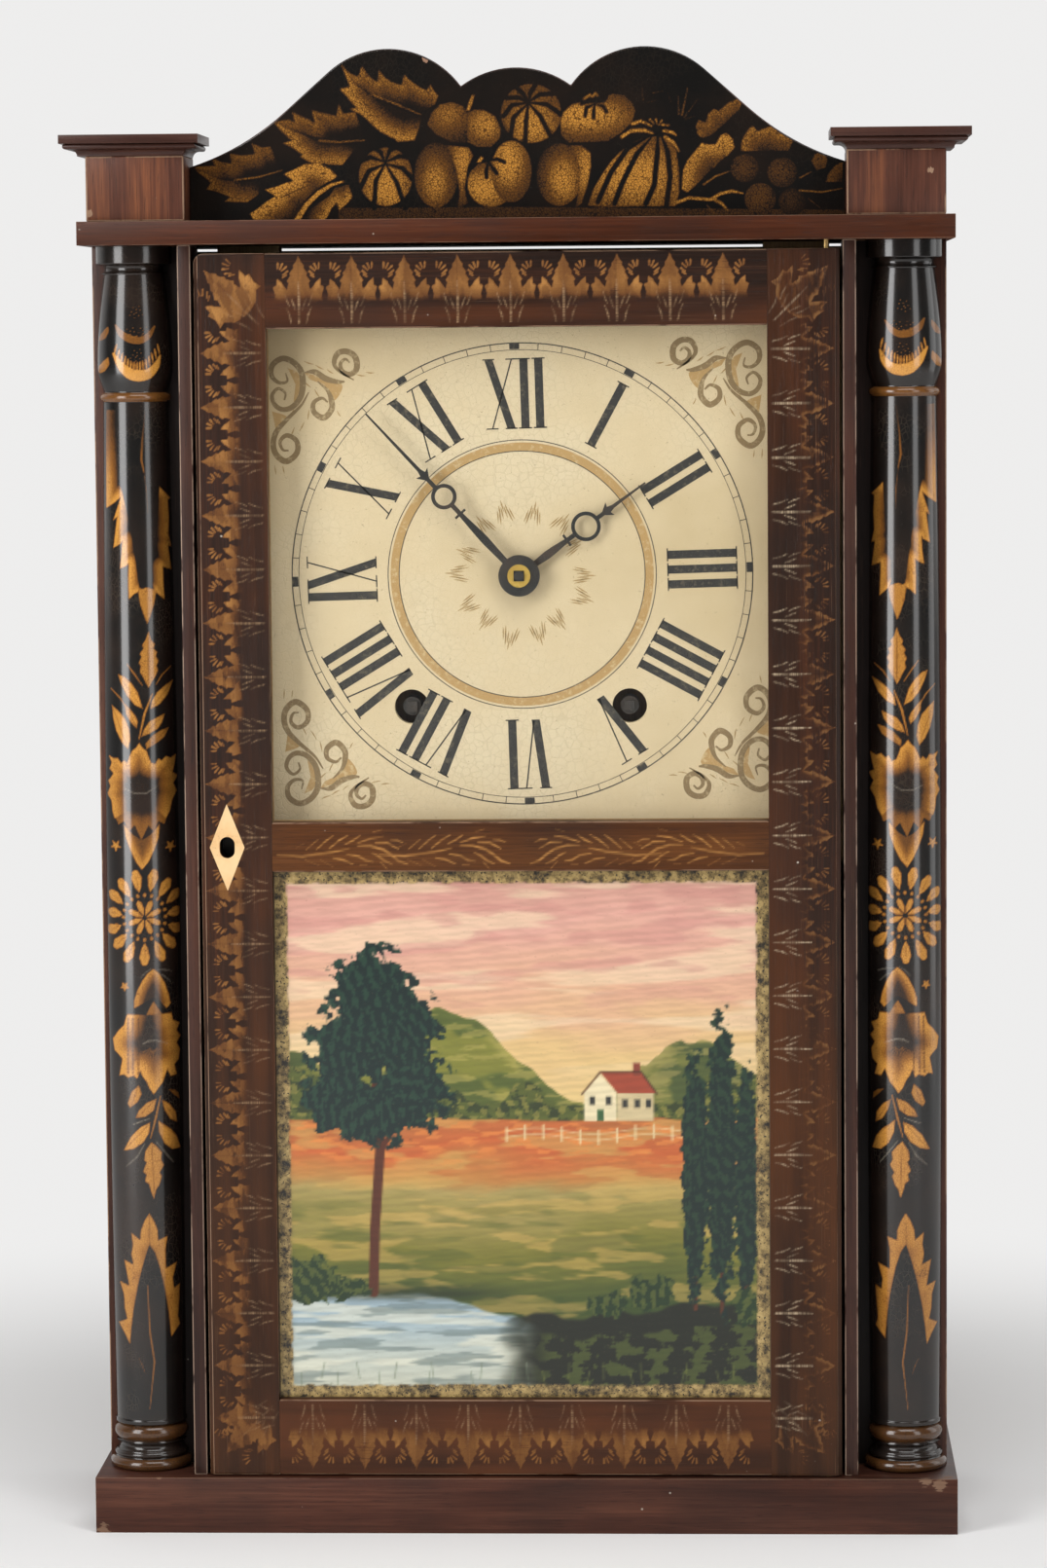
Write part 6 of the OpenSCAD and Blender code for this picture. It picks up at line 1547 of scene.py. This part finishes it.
# Time ring, numerals, band, sprigs and corner scrolls; every outline is turned into its place round the centre
def makeDial(s):
    board = frame["nodes"]["dial_board"]
    board.data.materials.clear()
    board.data.materials.append(dialMaterial())
    black = inkMaterial("dialBlack", (0.030, 0.028, 0.026), (0.22, 0.18, 0.12), 0.45)
    thinBlack = inkMaterial("dialLines", (0.06, 0.05, 0.04), (0.35, 0.28, 0.18), 0.5)
    gold = inkMaterial("dialGold", (0.45, 0.28, 0.11), (0.60, 0.46, 0.26), 0.8)
    ochre = inkMaterial("dialOchre", (0.36, 0.23, 0.09), (0.56, 0.44, 0.26), 0.6)
    brown = inkMaterial("dialBrown", (0.24, 0.16, 0.075), (0.48, 0.37, 0.21), 0.8)
    lines = [piece for r, half in s["rings"] for piece in circleLine(r, half)]
    blocks = []
    for k in range(60):
        a = math.radians(6 * k)
        across = np.array([math.cos(a), -math.sin(a)])
        up = np.array([math.sin(a), math.cos(a)])
        if k % 5 == 0:
            near, far, half = s["quarters"]
            ends = ((near, 0.05 - half), (far, -half), (far, half), (near, half - 0.05))
            blocks.append([up * r + across * w for r, w in ends])
        else:
            near, far, half = s["minutes"]
            ends = ((near, -half), (far, -half), (far, half), (near, half))
            lines.append([up * r + across * w for r, w in ends])
    flatPaint("dialTrack", lines, thinBlack, s["front"] - 0.05)
    widths, thick, hair, serif = s["widths"], s["thick"], s["hair"], s["serif"]
    low, high = s["numerals"]
    for k, numeral in enumerate(("XII", "I", "II", "III", "IIII", "V", "VI", "VII", "VIII", "IX", "X", "XI")):
        a = math.radians(30 * k)
        across, up = np.array([math.cos(a), -math.sin(a)]), np.array([math.sin(a), math.cos(a)])
        total = sum(widths[c] for c in numeral)
        u = -total / 2
        strips = []
        for c in numeral:
            w = widths[c]
            m = u + w / 2
            if c == "I":
                strips += [((m, low), (m, high), thick)]
                strips += [((m - 3.2, r), (m + 3.2, r), serif) for r in (low, high)]
            elif c == "V":
                strips += [((m + 4.9, high), (m + 0.2, low), hair), ((m - 4.6, high), (m - 0.6, low), thick)]
                strips += [((m + e - 2.9, high), (m + e + 2.9, high), serif) for e in (-4.6, 4.9)]
            else:
                strips += [((m - 5.6, high), (m + 4.6, low), thick), ((m + 5.6, high), (m - 4.6, low), hair)]
                strips += [((m + e - 2.9, high), (m + e + 2.9, high), serif) for e in (-5.6, 5.6)]
                strips += [((m + e - 2.9, low), (m + e + 2.9, low), serif) for e in (-4.6, 4.6)]
            u += w
        for (u0, r0), (u1, r1), half in strips:
            if abs(r1 - r0) > 1:
                outline = [(u0 - half, r0), (u0 + half, r0), (u1 + half, r1), (u1 - half, r1)]
            else:
                outline = [(u0, r0 - half), (u1, r0 - half), (u1, r0 + half), (u0, r0 + half)]
            blocks.append([across * p + up * q for p, q in outline])
    flatPaint("dialNumerals", blocks, black, s["front"] - 0.07)
    flatPaint("dialBand", circleLine(*s["band"]), gold, s["front"] - 0.04)
    sprigs = []
    for k in range(s["sprigs"]):
        a = 2 * math.pi * (k + 0.5) / s["sprigs"] + 0.05 * math.sin(k * 2.7)
        r = s["sprigRadius"] + 1.8 * math.sin(k * 2.1)
        for i in range(-4, 5):
            lean, start = 0.03 * i, r - 1.1 * abs(i) - (i % 2) * 2.2
            ends = [(q * math.sin(a + lean * t), q * math.cos(a + lean * t))
                    for q, t in ((start, 0.75), (start - 3, 0.95), (start - 6, 1.3))]
            sprigs += ribbon(smoothLine(ends, 3), [0.08, 0.34, 0.3, 0.06])
    flatPaint("dialSprigs", sprigs, ochre, s["front"] - 0.04)
    curls, fills, lights = [], [], []
    for sx in (-1, 1):
        for sz in (-1, 1):
            def spot(points):
                return [(sx * (corner["at"][0] - p[0]), sz * (corner["at"][1] - p[1])) for p in points]

            def drawn(points, steps=8):
                return smoothLine((np.array(points, float) - corner["start"]) * corner["scale"], steps)

            for points in corner["strokes"]:
                curls += [spot(q) for q in ribbon(drawn(points), [0.3, 1.35, 1.5, 1.1, 0.4])]
            for points in corner["fills"]:
                fills.append(spot(drawn(points)))
            for x, y, turn, long in corner["dashes"]:
                a = math.radians(turn)
                ends = [(x - long * math.cos(a), y - long * math.sin(a)), (x, y + 2),
                    (x + long * math.cos(a), y + long * math.sin(a))]
                lights += [spot(q) for q in ribbon(drawn(ends, 3), [0.1, 0.35, 0.1])]
    flatPaint("dialFills", fills, gold, s["front"] - 0.04)
    flatPaint("dialScrolls", curls, brown, s["front"] - 0.06)
    flatPaint("dialDashes", lights, ochre, s["front"] - 0.05)


makeDial(dialSettings)
print("stage: dial ready")

# Metal parts of carried-over nodes: chosen faces take a second material


# Middles of a node's faces in mm
def faceMiddles(mesh):
    middles = np.zeros(len(mesh.polygons) * 3)
    mesh.polygons.foreach_get("center", middles)
    return middles.reshape(-1, 3) * 1000


def secondFinish(node, finish, choose):
    mesh = frame["nodes"][node].data
    mesh.materials.append(finish)
    mesh.polygons.foreach_set("material_index", choose(*faceMiddles(mesh).T).astype(np.int32))


# The arbors' ends show in the dial's holes and in the minute hand: axis x and z, radius, and front
arborEnds = {
    "time_drum": (53.2, 405.2, 7.0, -14.0), "strike_drum": (-53.2, 405.2, 7.0, -14.0),
    "center_wheel": (0, 469.0, 6.0, -30.0),
}
# Brass bush of the minute hand; its recess round the arbor's square end is left dark
handBush = {"z": 469.0, "r": 5.75, "face": -47.6, "recess": 4.5}


def isBush(x, y, z):
    reach = np.hypot(x, z - handBush["z"])
    return (reach < handBush["r"]) & ((y < handBush["face"]) | (reach > handBush["recess"]))


secondFinish("minute_hand", finishes["brightBrass"], isBush)
for node, (axisX, axisZ, radius, front) in arborEnds.items():
    secondFinish(node, finishes["steel"],
                 lambda x, y, z: (np.hypot(np.abs(x) - abs(axisX), z - axisZ) < radius) & (y < front))

# Weight cords: three strands laid round a straight line, from the pulley down to the weight's eye
cordSettings = {"x": 149.3, "y": 4.5, "top": 589.9, "low": 152.5, "r": 1.0, "lay": 7.0}


# Tube of radius r (0.86 + 0.14 |cos(1.5 (a - turn))|), where turn grows by one round for every lay of length
def makeCordDrop(node, s):
    side = 1 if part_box(node)[0][0] > 0 else -1
    z = np.linspace(s["top"], s["low"], 400)[:, None]
    a = np.linspace(0, 2 * math.pi, 17)[:-1]
    turn = 2 * math.pi * z / s["lay"]
    r = s["r"] * (0.86 + 0.14 * np.abs(np.cos(1.5 * (a - turn))))
    r = np.concatenate([np.full((1, 16), 0.01), r, np.full((1, 16), 0.01)])
    z = np.concatenate([z[:1], z, z[-1:]])
    points = np.stack([side * s["x"] + r * np.cos(a), s["y"] + r * np.sin(a), z + 0 * a], -1)
    ob = gridPiece(node + "_laid", points, finishes["cord"], wrap=True, flip=True)
    bpy.context.scene.collection.objects.link(ob)
    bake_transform(ob)
    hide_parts(node)


makeCordDrop("time_cord_drop", cordSettings)
makeCordDrop("strike_cord_drop", cordSettings)
print("stage: hands and cords ready")
